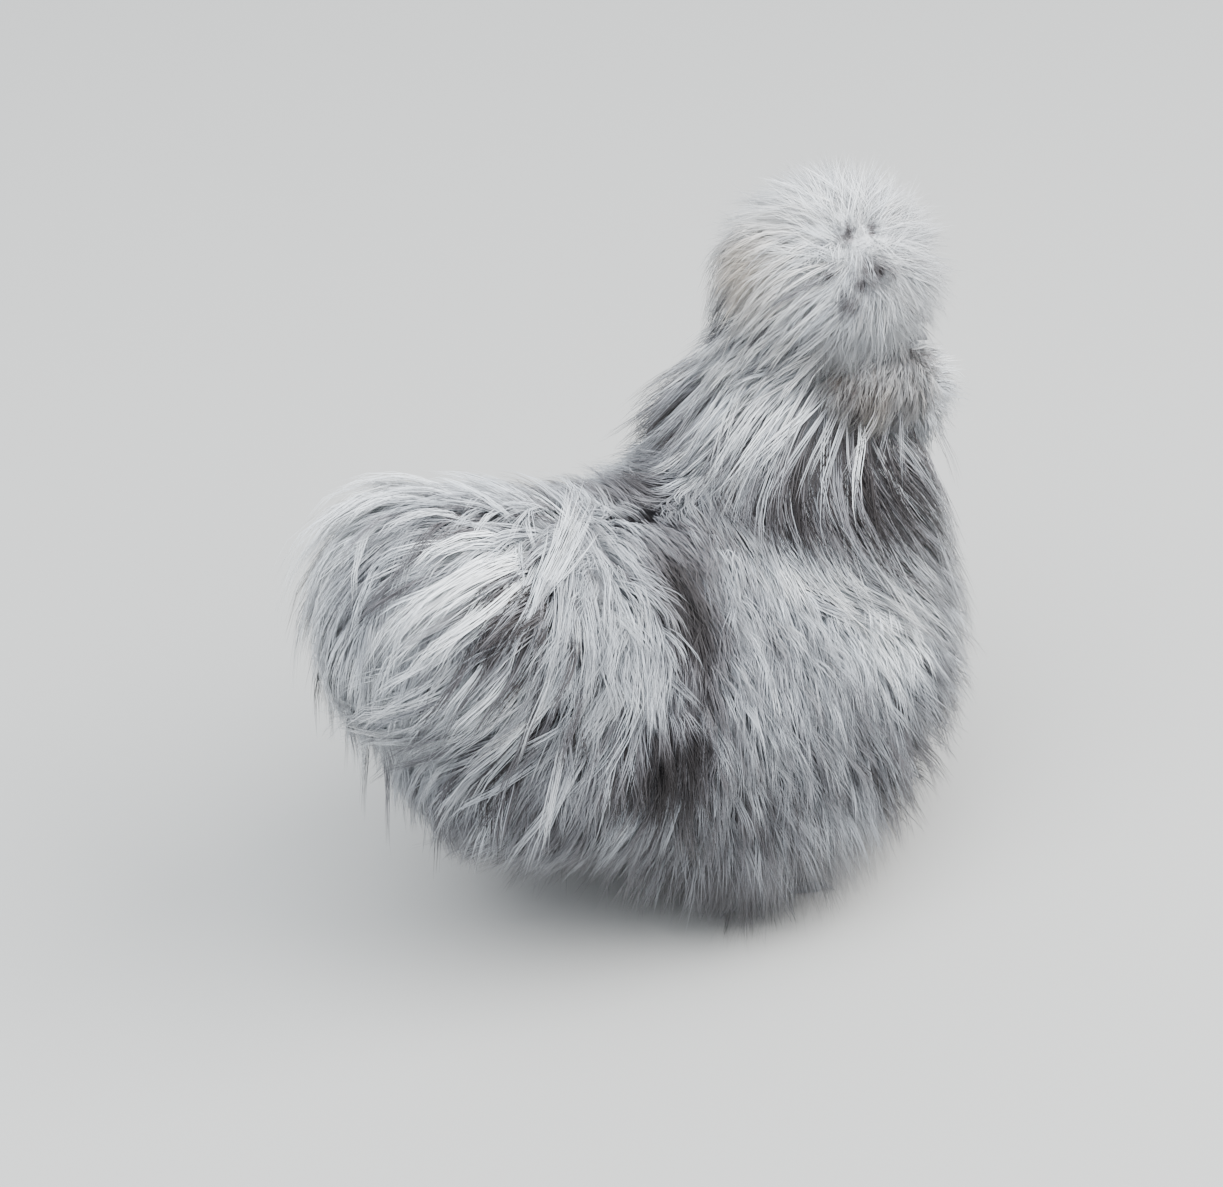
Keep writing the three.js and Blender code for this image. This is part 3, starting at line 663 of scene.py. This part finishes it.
overSaddle = ["saddle", "torso", "tail"]
saddleCoat = {
    **baseCoat, "length": 70, "lift": 15, "steps": 4, "spread": 3, "clump": 0.5, "clear": -4, "streak": 0.12,
    "mottle": 0.2, "hold": 0.85, "width": 0.52, "stray": 0.24, "tone": -0.1, "marked": 0.85,
    "vary": lambda points: (0.4 + 0.6 * ease(-points[:, 0], 30, 66)) * (0.65 + 0.35 * ease(points[:, 2], 150, 200)),
}
for side, sign in sides:
    saddleCoat["keep"] = lambda points: (points[:, 1] * sign > 0) & (points[:, 0] < -36) & ~onDome(points)
    growCoat(f"saddle{side}", [("saddle", 3500, overSaddle, saddleFlow)], saddleCoat, 50 + sign)
backCoat = {  # short and smooth between the hackle and the saddle
    **baseCoat, "length": 30, "lift": 8, "strands": 8, "spread": 3.4, "clump": 0.1, "fray": 1.2, "streak": 0.05,
    "mottle": 0.06, "stray": 0.1, "rise": 0.5, "hold": 1,
    "keep": lambda points: (points[:, 0] >= -48) & (points[:, 0] + 0.3 * points[:, 2] < 96) & (points[:, 2] > 168),
}
overBack = ["saddle", "torso", "neck"]
growCoat("backCoat", [
    (form, tufts, overBack, saddleFlow) for form, tufts in (("saddle", 3600), ("neck", 3600), ("torso", 8400))
], backCoat, 13)
domeCoat = {
    **backCoat, "length": 34, "lift": 16, "strands": 12, "width": 0.38, "fray": 2.4, "stray": 0.35, "spread": 4,
    "mottle": 0.1, "hold": 0.8, "droop": 0.4, "keep": lambda points: onDome(points * (0.98, 0.94, 1)),
}
growCoat("domeCoat", [("saddle", 3600, overBack, saddleFlow)], domeCoat, 16)
tailCoat = {**saddleCoat, "length": 46, "lift": 12, "vary": everywhere, "keep": everywhere, "hold": 0.75}
tailFlow = awayFrom((-104, 0, 240), (-0.3, 0, -0.9))
growCoat("tailCoat", [("tail", 1000, ["tail", "saddle", "torso"], tailFlow)], tailCoat, 6)
strapCoat = {  # longer white and dark locks that stand out over the rest
    **saddleCoat, "strands": 14, "spread": 3.4, "clump": 0.75, "length": 78, "lift": 20, "streak": 0.08,
    "mottle": 0.1, "hold": 0.8, "droop": 0.5, "vary": everywhere, "tone": 0.2, "darkShare": 0.4, "darker": 0.7,
    "marked": 0.5, "keep": lambda points: (points[:, 0] < -82) & (points[:, 2] > 165),
}
growCoat("saddleStraps", [("saddle", 800, overSaddle, saddleFlow)], strapCoat, 12)


def lockParts(settings):  # each place: where the locks start, what they aim at, and how far around they root
    parts = []
    for start, end, within in settings["places"]:
        for side in settings["sides"]:
            origin, aim = np.array(start) * (1, side, 1), np.array(end) * (1, side, 1)

            def flow(root, back, point, origin=origin, aim=aim):
                return unit(aim - point) + (root - origin) * settings["open"]

            def near(points, origin=origin, within=within):
                return np.linalg.norm(points - origin, axis=1) < within

            parts.append(("saddle", settings["tufts"], overSaddle, flow, near))
    return parts


whiteFan = {
    **strapCoat, "strands": 16, "length": 98, "lift": 24, "stray": 0.1, "tone": 0.55, "darkShare": 0.12,
    "darker": 1.0, "clump": 0.6, "spread": 4, "fray": 1.8, "open": 0.012, "sides": (1, -1), "tufts": 6500,
    "places": [((-97, -27, 250), (-195, -32, 236), 9.5)],
}
topWisp = {
    **whiteFan, "length": 50, "lift": 20, "fray": 2.4, "droop": 0, "tone": 0.2, "darkShare": 0.4, "width": 0.4,
    "spread": 3, "sides": (1,), "places": [((-101, -43, 238), (-46, -4, 262), 6)],
}
# Painted shadow: dark strands laid in the gaps under the white fan and the locks below it, where the shade falls
shadowLocks = {
    **whiteFan, "steps": 3, "length": 48, "lift": 19, "strands": 12, "clump": 0.5, "tone": -0.6, "mottle": 0.25,
    "streak": 0.16, "fine": 1.2, "darkShare": 0,
    "places": [
        ((-104, -42, 238), (-190, -40, 232), 13), ((-100, -57, 202), (-106, -60, 140), 5),
        ((-120, -40, 168), (-134, -50, 125), 7),
    ],
}
for name, locks, seed in (("whiteFan", whiteFan, 12), ("topWisp", topWisp, 13), ("shadowLocks", shadowLocks, 14)):
    growCoat(name, lockParts(locks), locks, seed)


def fallFlow(root, back, point):  # straight down as seen from the front quarters, and rearwards behind
    share = np.clip(np.abs(root[:, 1:2]) / 45, 0, 1)
    across = columns(0.788, 0.616 * np.sign(root[:, 1]), 0) * share
    down = np.cross(back, across)
    down *= np.where(down[:, 2:] > 0, -1, 1)
    rear = columns(-0.4 - 0.4 * np.abs(back[:, 2]), 0.1 * np.sign(root[:, 1]), -0.85)
    share = ease(root[:, :1], -70, 0)
    return down * share + rear * (1 - share) + (0, 0, -0.15)


downCoat = {
    **baseCoat, "steps": 2, "length": 32, "lift": 16, "strands": 8, "stray": 0.3, "streak": 0.06, "mottle": 0.18,
    "width": 0.42, "rise": 0.7, "hold": 0.65, "droop": 0.45, "fray": 2.6, "clump": 0.12, "clear": -6, "floor": 6,
    "vary": lambda points: 1 + 0.35 * (1 - ease(points[:, 2], 70, 130)),
}
frontCoat = {**downCoat, "keep": lambda points: points[:, 0] > 30}
middleCoat = {**downCoat, "keep": lambda points: (points[:, 0] <= 30) & (points[:, 0] > -55)}
rearCoat = {
    **downCoat, "steps": 3, "length": 35, "lift": 11, "hold": 0.8, "droop": 0.2, "vary": everywhere,
    "keep": lambda points: points[:, 0] <= -55,
}
torsoPart = ["torso", "thighRight", "thighLeft"]
growCoat("breastCoat", [("torso", 8300, torsoPart, fallFlow)], frontCoat, 7)
growCoat("flankCoat", [("torso", 8100, torsoPart, fallFlow)], middleCoat, 8)
growCoat("rearCoat", [("torso", 6200, torsoPart, fallFlow)], rearCoat, 9)
wingCoat = {**baseCoat, "length": 42, "lift": 11, "clump": 0.5, "streak": 0.12, "clear": -7}
thighCoat = {**downCoat, "length": 34, "lift": 15, "steps": 1, "strands": 18, "width": 0.34, "spread": 4}


def thighFlow(root, back, point):
    return columns(-0.3 + back[:, 0] * 0.5, back[:, 1] * 0.6, -1)


def footFlow(root, back, point):
    return back * (0.8, 0.8, 0) + (0.1, 0, -0.75)


footCoat = {**baseCoat, "length": 44, "lift": 13, "hold": 0.45, "droop": 0.12, "clump": 0.6, "width": 0.7}
for side, sign in sides:
    wingCoat["keep"] = lambda points: points[:, 1] * sign > 78
    growCoat(f"wing{side}Coat", [(f"wing{side}", 700, torsoPart, fallFlow)], wingCoat, 20 + sign)
    growCoat(f"thigh{side}Coat", [(f"thigh{side}", 1220, [f"thigh{side}"], thighFlow)], thighCoat, 30 + sign)
    footCoat["keep"] = lambda points: (points[:, 1] - 53 * sign) * sign > -6  # only the outer side is feathered
    growCoat(f"foot{side}Coat", [(f"foot{side}", 420, [f"foot{side}"], footFlow)], footCoat, 60 + sign)


# Skin: the same forms, smaller by part of the coat's depth, joined, remeshed and smoothed
def placing(middle, turn):
    return Matrix.Translation(toFrame(middle)) @ Matrix(turn).to_4x4()


def addEgg(one, grow, segments=40, rings=24):
    bpy.ops.mesh.primitive_uv_sphere_add(segments=segments, ring_count=rings, radius=1)
    ball = bpy.context.object
    ball.data.transform(placing(one["middle"], one["turn"]) @ Matrix.Diagonal((*(one["half"] + grow) / 1000, 1)))
    return ball


def vertexValues(piece, field="co"):
    return np.array([getattr(vertex, field) for vertex in piece.data.vertices])


def pick(*objects):
    bpy.ops.object.select_all(action="DESELECT")
    for one in objects:
        one.select_set(True)
    bpy.context.view_layer.objects.active = objects[0]


def joinPieces(name, objects):
    pick(*objects)
    bpy.ops.object.join()
    return give(bpy.context.object, name=name)


def applyModifier(piece, kind, **settings):
    bpy.context.view_layer.objects.active = piece
    change = give(piece.modifiers.new(kind.lower(), kind), **settings)
    bpy.ops.object.modifier_apply(modifier=change.name)


def remesh(piece, size, smooth=4):
    applyModifier(piece, "REMESH", mode="VOXEL", voxel_size=size)
    applyModifier(piece, "SMOOTH", iterations=smooth)
    bpy.ops.object.shade_smooth()


skinSettings = {
    "under": {
        "torso": 9, "saddle": 9, "tail": 9, "neck": 9, "thighRight": 9, "thighLeft": 9, "crest": 5, "muffRight": 5,
        "muffLeft": 5, "beard": 9,
    },
    "voxel": 0.0035, "faceVoxel": 0.0006, "bareMiddle": (12, 0, 0), "bare": (24, 34), "darker": 0.12,
    "pebbles": 900, "dark": [(0, (0.045, 0.024, 0.031)), (0.6, (0.015, 0.009, 0.013))], "roughness": 0.6,
    "bump": 0.35, "bumpDepth": 0.0004,
}
trunk = joinPieces("skinTrunk", [
    addEgg(one, -depth) for name, depth in skinSettings["under"].items() for one in forms[name]])
remesh(trunk, skinSettings["voxel"])
headMatrix = placing(headPlace["middle"], headTurn)


def addLid(side):
    bpy.ops.mesh.primitive_torus_add(
        major_segments=40, minor_segments=12, major_radius=(eyeSettings["radius"] + eyeSettings["lidGap"]) / 1000,
        minor_radius=eyeSettings["lid"] / 1000, rotation=(math.pi / 2, 0, 0))
    lid = bpy.context.object
    bpy.ops.object.transform_apply()
    out = (eyeSettings["out"] + eyeSettings["lidOut"]) * side
    local = Matrix.Translation((eyeSettings["ahead"] / 1000, out / 1000, eyeSettings["high"] / 1000))
    lid.data.transform(headMatrix @ local @ Matrix.Diagonal(eyeSettings["lidShape"]))
    return lid


faceEggs = [headEgg((0, 0, 0), (24, 17, 18)), headEgg((15, 0, -3), (16, 12, 12))]
face = joinPieces("face", [*(addEgg(one, 0) for one in faceEggs), *(addLid(sign) for side, sign in sides)])
remesh(face, skinSettings["faceVoxel"], 3)
skin = joinPieces("skin", [trunk, face])


def skinMaterial():
    material, tree, shader = newMaterial("skin")
    place = objectPlace(tree)
    made = plumageNode(tree, place, ("Pale", "Tan"))
    values = {"Vector": place, "Scale": skinSettings["pebbles"]}
    pebbles = addNode(tree, "TexVoronoi", values).outputs["Distance"]
    dark = rampNode(tree, pebbles, skinSettings["dark"])
    feed(tree, shader, {
        "Base Color": mixNode(tree, attributeNode(tree, "bare"), made["Colour"], dark),
        "Roughness": skinSettings["roughness"],
        "Normal": bumpNode(tree, pebbles, skinSettings["bump"], skinSettings["bumpDepth"], True),
    })
    return material


def markSkin(piece):
    points = vertexValues(piece) * 1000 - shift
    near = np.argmin([distance(eggs, points) for eggs in forms.values()], 0)
    pale, tan = np.zeros((2, len(points)))
    for i, name in enumerate(forms):
        own = near == i
        pale[own], tan[own] = markingsAndPaintedLight(name, points[own])
    bare = 1 - ease(np.linalg.norm(points - onHead(skinSettings["bareMiddle"]), axis=1), *skinSettings["bare"])
    for label, values in (("pale", pale - skinSettings["darker"]), ("tan", tan), ("bare", bare)):
        setAttribute(piece.data, label, values)


markSkin(skin)
skin.data.materials.append(skinMaterial())
for piece in (*pieces.values(), skin):
    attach(piece, "root")
print("skin made", len(skin.data.polygons))
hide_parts("crest")
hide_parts("muff_right", "muff_left", "beard")
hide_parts("neck")
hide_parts("saddle")
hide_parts("tail")
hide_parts("torso")
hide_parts("head")
for side, sign in sides:
    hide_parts(f"wing_{side.lower()}")
    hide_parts(f"thigh_{side.lower()}")


# Head pieces
def simpleMaterial(name, low, high, scale, roughness, bumpDepth, coat=0.0):
    material, tree, shader = newMaterial(name)
    noise = noiseNode(tree, objectPlace(tree), scale, 5)
    feed(tree, shader, {
        "Base Color": rampNode(tree, noise, [(0.3, low), (0.7, high)]), "Coat Weight": coat,
        "Roughness": mathNode(tree, "MULTIPLY", noise, roughness * 2),
        "Normal": bumpNode(tree, noise, 0.5, bumpDepth),
    })
    return material


def finishPiece(piece, material, slot, *nodes):
    piece.data.materials.clear()
    piece.data.materials.append(material)
    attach(piece, "root")
    if nodes:
        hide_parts(*nodes)


irisStops = [  # from the pupil to the rim
    (0.0, (0.004, 0.004, 0.005)), (0.44, (0.004, 0.004, 0.005)), (0.5, (0.10, 0.045, 0.022)),
    (0.78, (0.045, 0.02, 0.012)), (0.86, (0.012, 0.008, 0.008)),
]
wetEye, tree, shader = newMaterial("wetEye")
iris = rampNode(tree, attributeNode(tree, "ring"), irisStops)
feed(tree, shader, {"Base Color": iris, "Roughness": 0.12, "Coat Weight": 1.0, "Coat Roughness": 0.02})
for side, sign in sides:
    middle = (eyeSettings["ahead"], eyeSettings["out"] * sign, eyeSettings["high"])
    eye = give(addEgg(headEgg(middle, (eyeSettings["radius"],) * 3), 0, 48, 32), name=f"eye{side}")
    bpy.ops.object.shade_smooth()
    ahead, up = eyeSettings["gaze"]
    axis = headTurn @ (ahead, sign, up)
    points = vertexValues(eye) * 1000 - shift - onHead(middle)
    off = np.linalg.norm(np.cross(points, unit(axis)), axis=1) / eyeSettings["radius"]
    off[(points @ axis) < 0] = 1
    setAttribute(eye.data, "ring", off)
    finishPiece(eye, wetEye, "eye", f"eye_{side.lower()}")

billSettings = {  # each station: how far ahead, how high, and its half width and half height
    "upper": [
        (22, -1.2, 5.6, 5.0), (27, -0.9, 5.1, 4.7), (32, -1.4, 4.1, 4.0), (37, -2.8, 2.8, 3.0),
        (40.5, -4.6, 1.5, 1.8), (42, -6, 0.5, 0.7),
    ],
    "lower": [(22, -7.6, 4.0, 2.2), (28, -7.7, 3.5, 1.9), (34, -7.5, 2.3, 1.3), (37.5, -7.2, 0.8, 0.6)],
    "nostril": ((31, 4.2, 0.4), (2.3, 1.3, 0.9)),
}
horn = simpleMaterial("slateHorn", (0.035, 0.038, 0.046), (0.11, 0.115, 0.128), 260, 0.4, 0.0002, 0.2)


def makeBill(name, stations):
    x, z, wide, high = stations[0]
    bpy.ops.mesh.primitive_circle_add(vertices=20, radius=1, fill_type="NGON", rotation=(0, math.pi / 2, 0))
    bill = bpy.context.object
    bpy.ops.object.transform_apply()
    bill.data.transform(Matrix.Translation((x, 0, z)) @ Matrix.Diagonal((1, wide, high, 1)))
    bpy.ops.object.mode_set(mode="EDIT")
    bpy.ops.mesh.select_all(action="SELECT")
    for nextX, nextZ, nextWide, nextHigh in stations[1:]:
        bpy.ops.mesh.extrude_region_move(TRANSFORM_OT_translate={"value": (nextX - x, 0, nextZ - z)})
        bpy.ops.transform.resize(value=(1, nextWide / wide, nextHigh / high), center_override=(nextX, 0, nextZ))
        x, z, wide, high = nextX, nextZ, nextWide, nextHigh
    bpy.ops.mesh.select_all(action="SELECT")
    bpy.ops.mesh.normals_make_consistent()
    bpy.ops.object.mode_set(mode="OBJECT")
    applyModifier(bill, "SUBSURF", levels=2, render_levels=2)
    bill.data.transform(headMatrix @ Matrix.Scale(0.001, 4))
    return give(bill, name=name)


def headEggs(eggs, side, segments, rings):  # each egg: a place on the right or left of the head, and its half sizes
    return [addEgg(headEgg((x, y * side, z), half), 0, segments, rings) for (x, y, z), half in eggs]


upper = makeBill("billUpper", billSettings["upper"])
for side, sign in sides:
    for cutter in headEggs([billSettings["nostril"]], sign, 20, 12):
        applyModifier(upper, "BOOLEAN", operation="DIFFERENCE", object=cutter)
        bpy.data.objects.remove(cutter)
lower = makeBill("billLower", billSettings["lower"])
for piece, node in ((upper, "bill_upper"), (lower, "bill_lower")):
    pick(piece)
    bpy.ops.object.shade_smooth_by_angle(angle=math.radians(40))
    finishPiece(piece, horn, "bill", node)

combSettings = {
    "middles": ((20, 0, 12), (26, 4, 9), (26, -4, 9), (15, 5, 14), (15, -5, 14)), "half": (5, 4.6, 4),
    "bumps": 14, "bumpsOut": (4.6, 4.4, 3.8), "bumpSize": (1.1, 1.9), "seed": 90,
}
lobeSettings = {
    "earlobe": [((6, 15.5, -4), (4, 2.3, 4.4)), ((5, 16.2, -6.6), (2.9, 2.1, 3))],
    "wattle": [((21, 6.5, -10), (3.6, 2.6, 5.2)), ((22, 7.4, -13), (2.6, 1.9, 3.4))],
}
headVoxel = 0.0004
mulberry = simpleMaterial("mulberryComb", (0.018, 0.008, 0.011), (0.05, 0.019, 0.026), 700, 0.35, 0.0005)
turquoise = simpleMaterial("turquoiseLobe", (0.11, 0.25, 0.28), (0.25, 0.42, 0.45), 420, 0.3, 0.0004)
draw = np.random.default_rng(combSettings["seed"])
lumps = []
for middle in combSettings["middles"]:
    lumps.append(addEgg(headEgg(middle, combSettings["half"]), 0, 20, 12))
    for _ in range(combSettings["bumps"]):
        way = unit(draw.normal(size=3)) * combSettings["bumpsOut"]
        size = draw.uniform(*combSettings["bumpSize"])
        lumps.append(addEgg(headEgg(way + middle, (size, size, size)), 0, 12, 8))
comb = joinPieces("comb", lumps)
remesh(comb, headVoxel, 2)
finishPiece(comb, mulberry, "comb_skin", "comb")
for side, sign in sides:
    for kind, material, slot in (("earlobe", turquoise, "earlobe"), ("wattle", mulberry, "comb_skin")):
        lobe = joinPieces(f"{kind}{side}", headEggs(lobeSettings[kind], sign, 24, 16))
        remesh(lobe, headVoxel, 2)
        finishPiece(lobe, material, slot, f"{kind}_{side.lower()}")
print("head pieces made")

# Feet: shank and five toes from tapered curves, with scutes pushed up on their tops, and curved claws
footSettings = {
    "at": {"Right": (26, -50), "Left": (6, 48)},
    "shank": [((0, 0, 7), 5.6), ((-5, 0, 26), 5.0), ((-6, 0, 44), 6.0)], "sole": (9, 9, 4.6),  # places with radii
    "toes": [(4, 44, 0), (38, 36, 0), (-34, 36, 0), (168, 24, 0), (152, 26, 18)],  # turn, reach, rise
    "radii": (4.9, 4.3, 3.5, 2.5), "middle": 3.4, "top": 8, "claw": 8, "clawRadii": (2.0, 1.4, 0.25),
    "voxel": 0.0007, "scute": 3.1, "relief": 0.35, "ankle": 14,
}


def addTube(points, radii, name):
    curve = give(bpy.data.curves.new(name, "CURVE"), dimensions="3D", bevel_depth=0.001, bevel_resolution=5,
                 use_fill_caps=True, resolution_u=10)
    spline = curve.splines.new("BEZIER")
    spline.bezier_points.add(len(points) - 1)
    for knot, place, radius in zip(spline.bezier_points, toFrame(points), radii):
        give(knot, co=place, radius=radius, handle_left_type="AUTO", handle_right_type="AUTO")
    tube = bpy.data.objects.new(name, curve)
    bpy.context.scene.collection.objects.link(tube)
    pick(tube)
    bpy.ops.object.convert(target="MESH")
    return bpy.context.object


legSkin = simpleMaterial("slateLeg", (0.035, 0.041, 0.05), (0.105, 0.116, 0.13), 380, 0.4, 0.0004)
for side, sign in sides:
    x, y = footSettings["at"][side]
    middle, top, ankle = footSettings["middle"], footSettings["top"], footSettings["ankle"]
    shank = [((x + ahead, y + out, up), radius) for (ahead, out, up), radius in footSettings["shank"]]
    sole = egg((x, y, footSettings["sole"][2]), footSettings["sole"])
    tubes = [addTube(*zip(*shank), "shank"), addEgg(sole, 0)]
    claws = []
    for turn, reach, rise in footSettings["toes"]:
        way = np.array((math.cos(math.radians(turn)), math.sin(math.radians(turn)) * sign, 0))
        heights = (
            (0, top + rise * 0.4), (0.35, middle + 0.9 + rise * 0.7), (0.7, middle + rise * 0.9),
            (0.9, middle - 0.6 + rise))  # how far along the toe, and how high there
        line = [(x, y, 0) + way * reach * share + (0, 0, height) for share, height in heights]
        tubes.append(addTube(line, footSettings["radii"], "toe"))
        start = (x, y, 0) + way * reach * 0.88 + (0, 0, middle + rise - 0.2)
        length = footSettings["claw"]
        line = [start, start + way * length * 0.5 + (0, 0, 0.5), start + way * length - (0, 0, 2.2)]
        claws.append(addTube(line, footSettings["clawRadii"], "claw"))
    foot = joinPieces(f"foot{side}", tubes)
    remesh(foot, footSettings["voxel"], 3)
    points, normals = vertexValues(foot), vertexValues(foot, "normal")
    local = points * 1000 - shift
    low = local[:, 2] < ankle
    reach = np.where(low, np.hypot(local[:, 0] - x, local[:, 1] - y), local[:, 2] + 4)
    wave = (reach / footSettings["scute"]) % 1
    ridge = ease(wave, 0, 0.2) * (1 - ease(wave, 0.75, 1)) * ease(normals[:, 2] + np.where(low, 0, 1), 0.1, 0.6)
    points += normals * (ridge * footSettings["relief"] / 1000)[:, None]
    points[:, 2] = np.maximum(points[:, 2], 0)
    foot.data.vertices.foreach_set("co", points.ravel())
    finishPiece(foot, legSkin, "leg_skin", f"foot_{side.lower()}")
    finishPiece(joinPieces(f"claws{side}", claws), horn, "bill")
print("feet made")

# Studio
studio = {
    "floor": (0.3, 0.3, 0.293, 1), "floorSize": 12, "floorRoughness": 0.9, "sky": (0.82, 0.86, 0.92, 1),
    "skyStrength": 1.95, "lampAim": (0, 0, 0.15),
    "lamps": [
        ("keyLight", (1.1, -1.5, 2.4), {"size": 2.2, "energy": 215, "color": (1.0, 0.98, 0.95)}),
        ("topLight", (-0.9, -0.5, 2.6), {"size": 2.4, "energy": 190, "color": (0.94, 0.98, 1.0)}),
    ],
}
bpy.ops.mesh.primitive_plane_add(size=studio["floorSize"])
floor = give(bpy.context.object, name="floor")
material, tree, shader = newMaterial("paleFloor")
feed(tree, shader, {"Base Color": studio["floor"], "Roughness": studio["floorRoughness"]})
floor.data.materials.append(material)
world = bpy.context.scene.world = bpy.data.worlds.new("studio")
world.use_nodes = True
tree = world.node_tree
feed(tree, tree.nodes["Background"], {"Color": studio["sky"], "Strength": studio["skyStrength"]})
for name, at, values in studio["lamps"]:
    bpy.ops.object.light_add(type="AREA", location=at)
    light = give(bpy.context.object, name=name)
    give(light.data, shape="DISK", **values)
    light.rotation_euler = (Vector(studio["lampAim"]) - Vector(at)).to_track_quat("-Z", "Y").to_euler()

cameraSettings = {
    "azimuth": -38, "elevation": 36, "away": 1.6, "aim": (-27.5, 0, 181.6), "lens": 98.9, "near": 0.05, "far": 60,
}
azimuth, elevation = math.radians(cameraSettings["azimuth"]), math.radians(cameraSettings["elevation"])
level = math.cos(elevation)
backward = Vector((math.sin(azimuth) * level, -math.cos(azimuth) * level, math.sin(elevation)))
aim = Vector(toFrame(cameraSettings["aim"]))
bpy.ops.object.camera_add(location=aim + backward * cameraSettings["away"])
camera = bpy.context.object
camera.rotation_euler = (-backward).to_track_quat("-Z", "Y").to_euler()
give(camera.data, lens=cameraSettings["lens"], clip_start=cameraSettings["near"], clip_end=cameraSettings["far"])
bpy.context.scene.camera = camera
print("camera set")
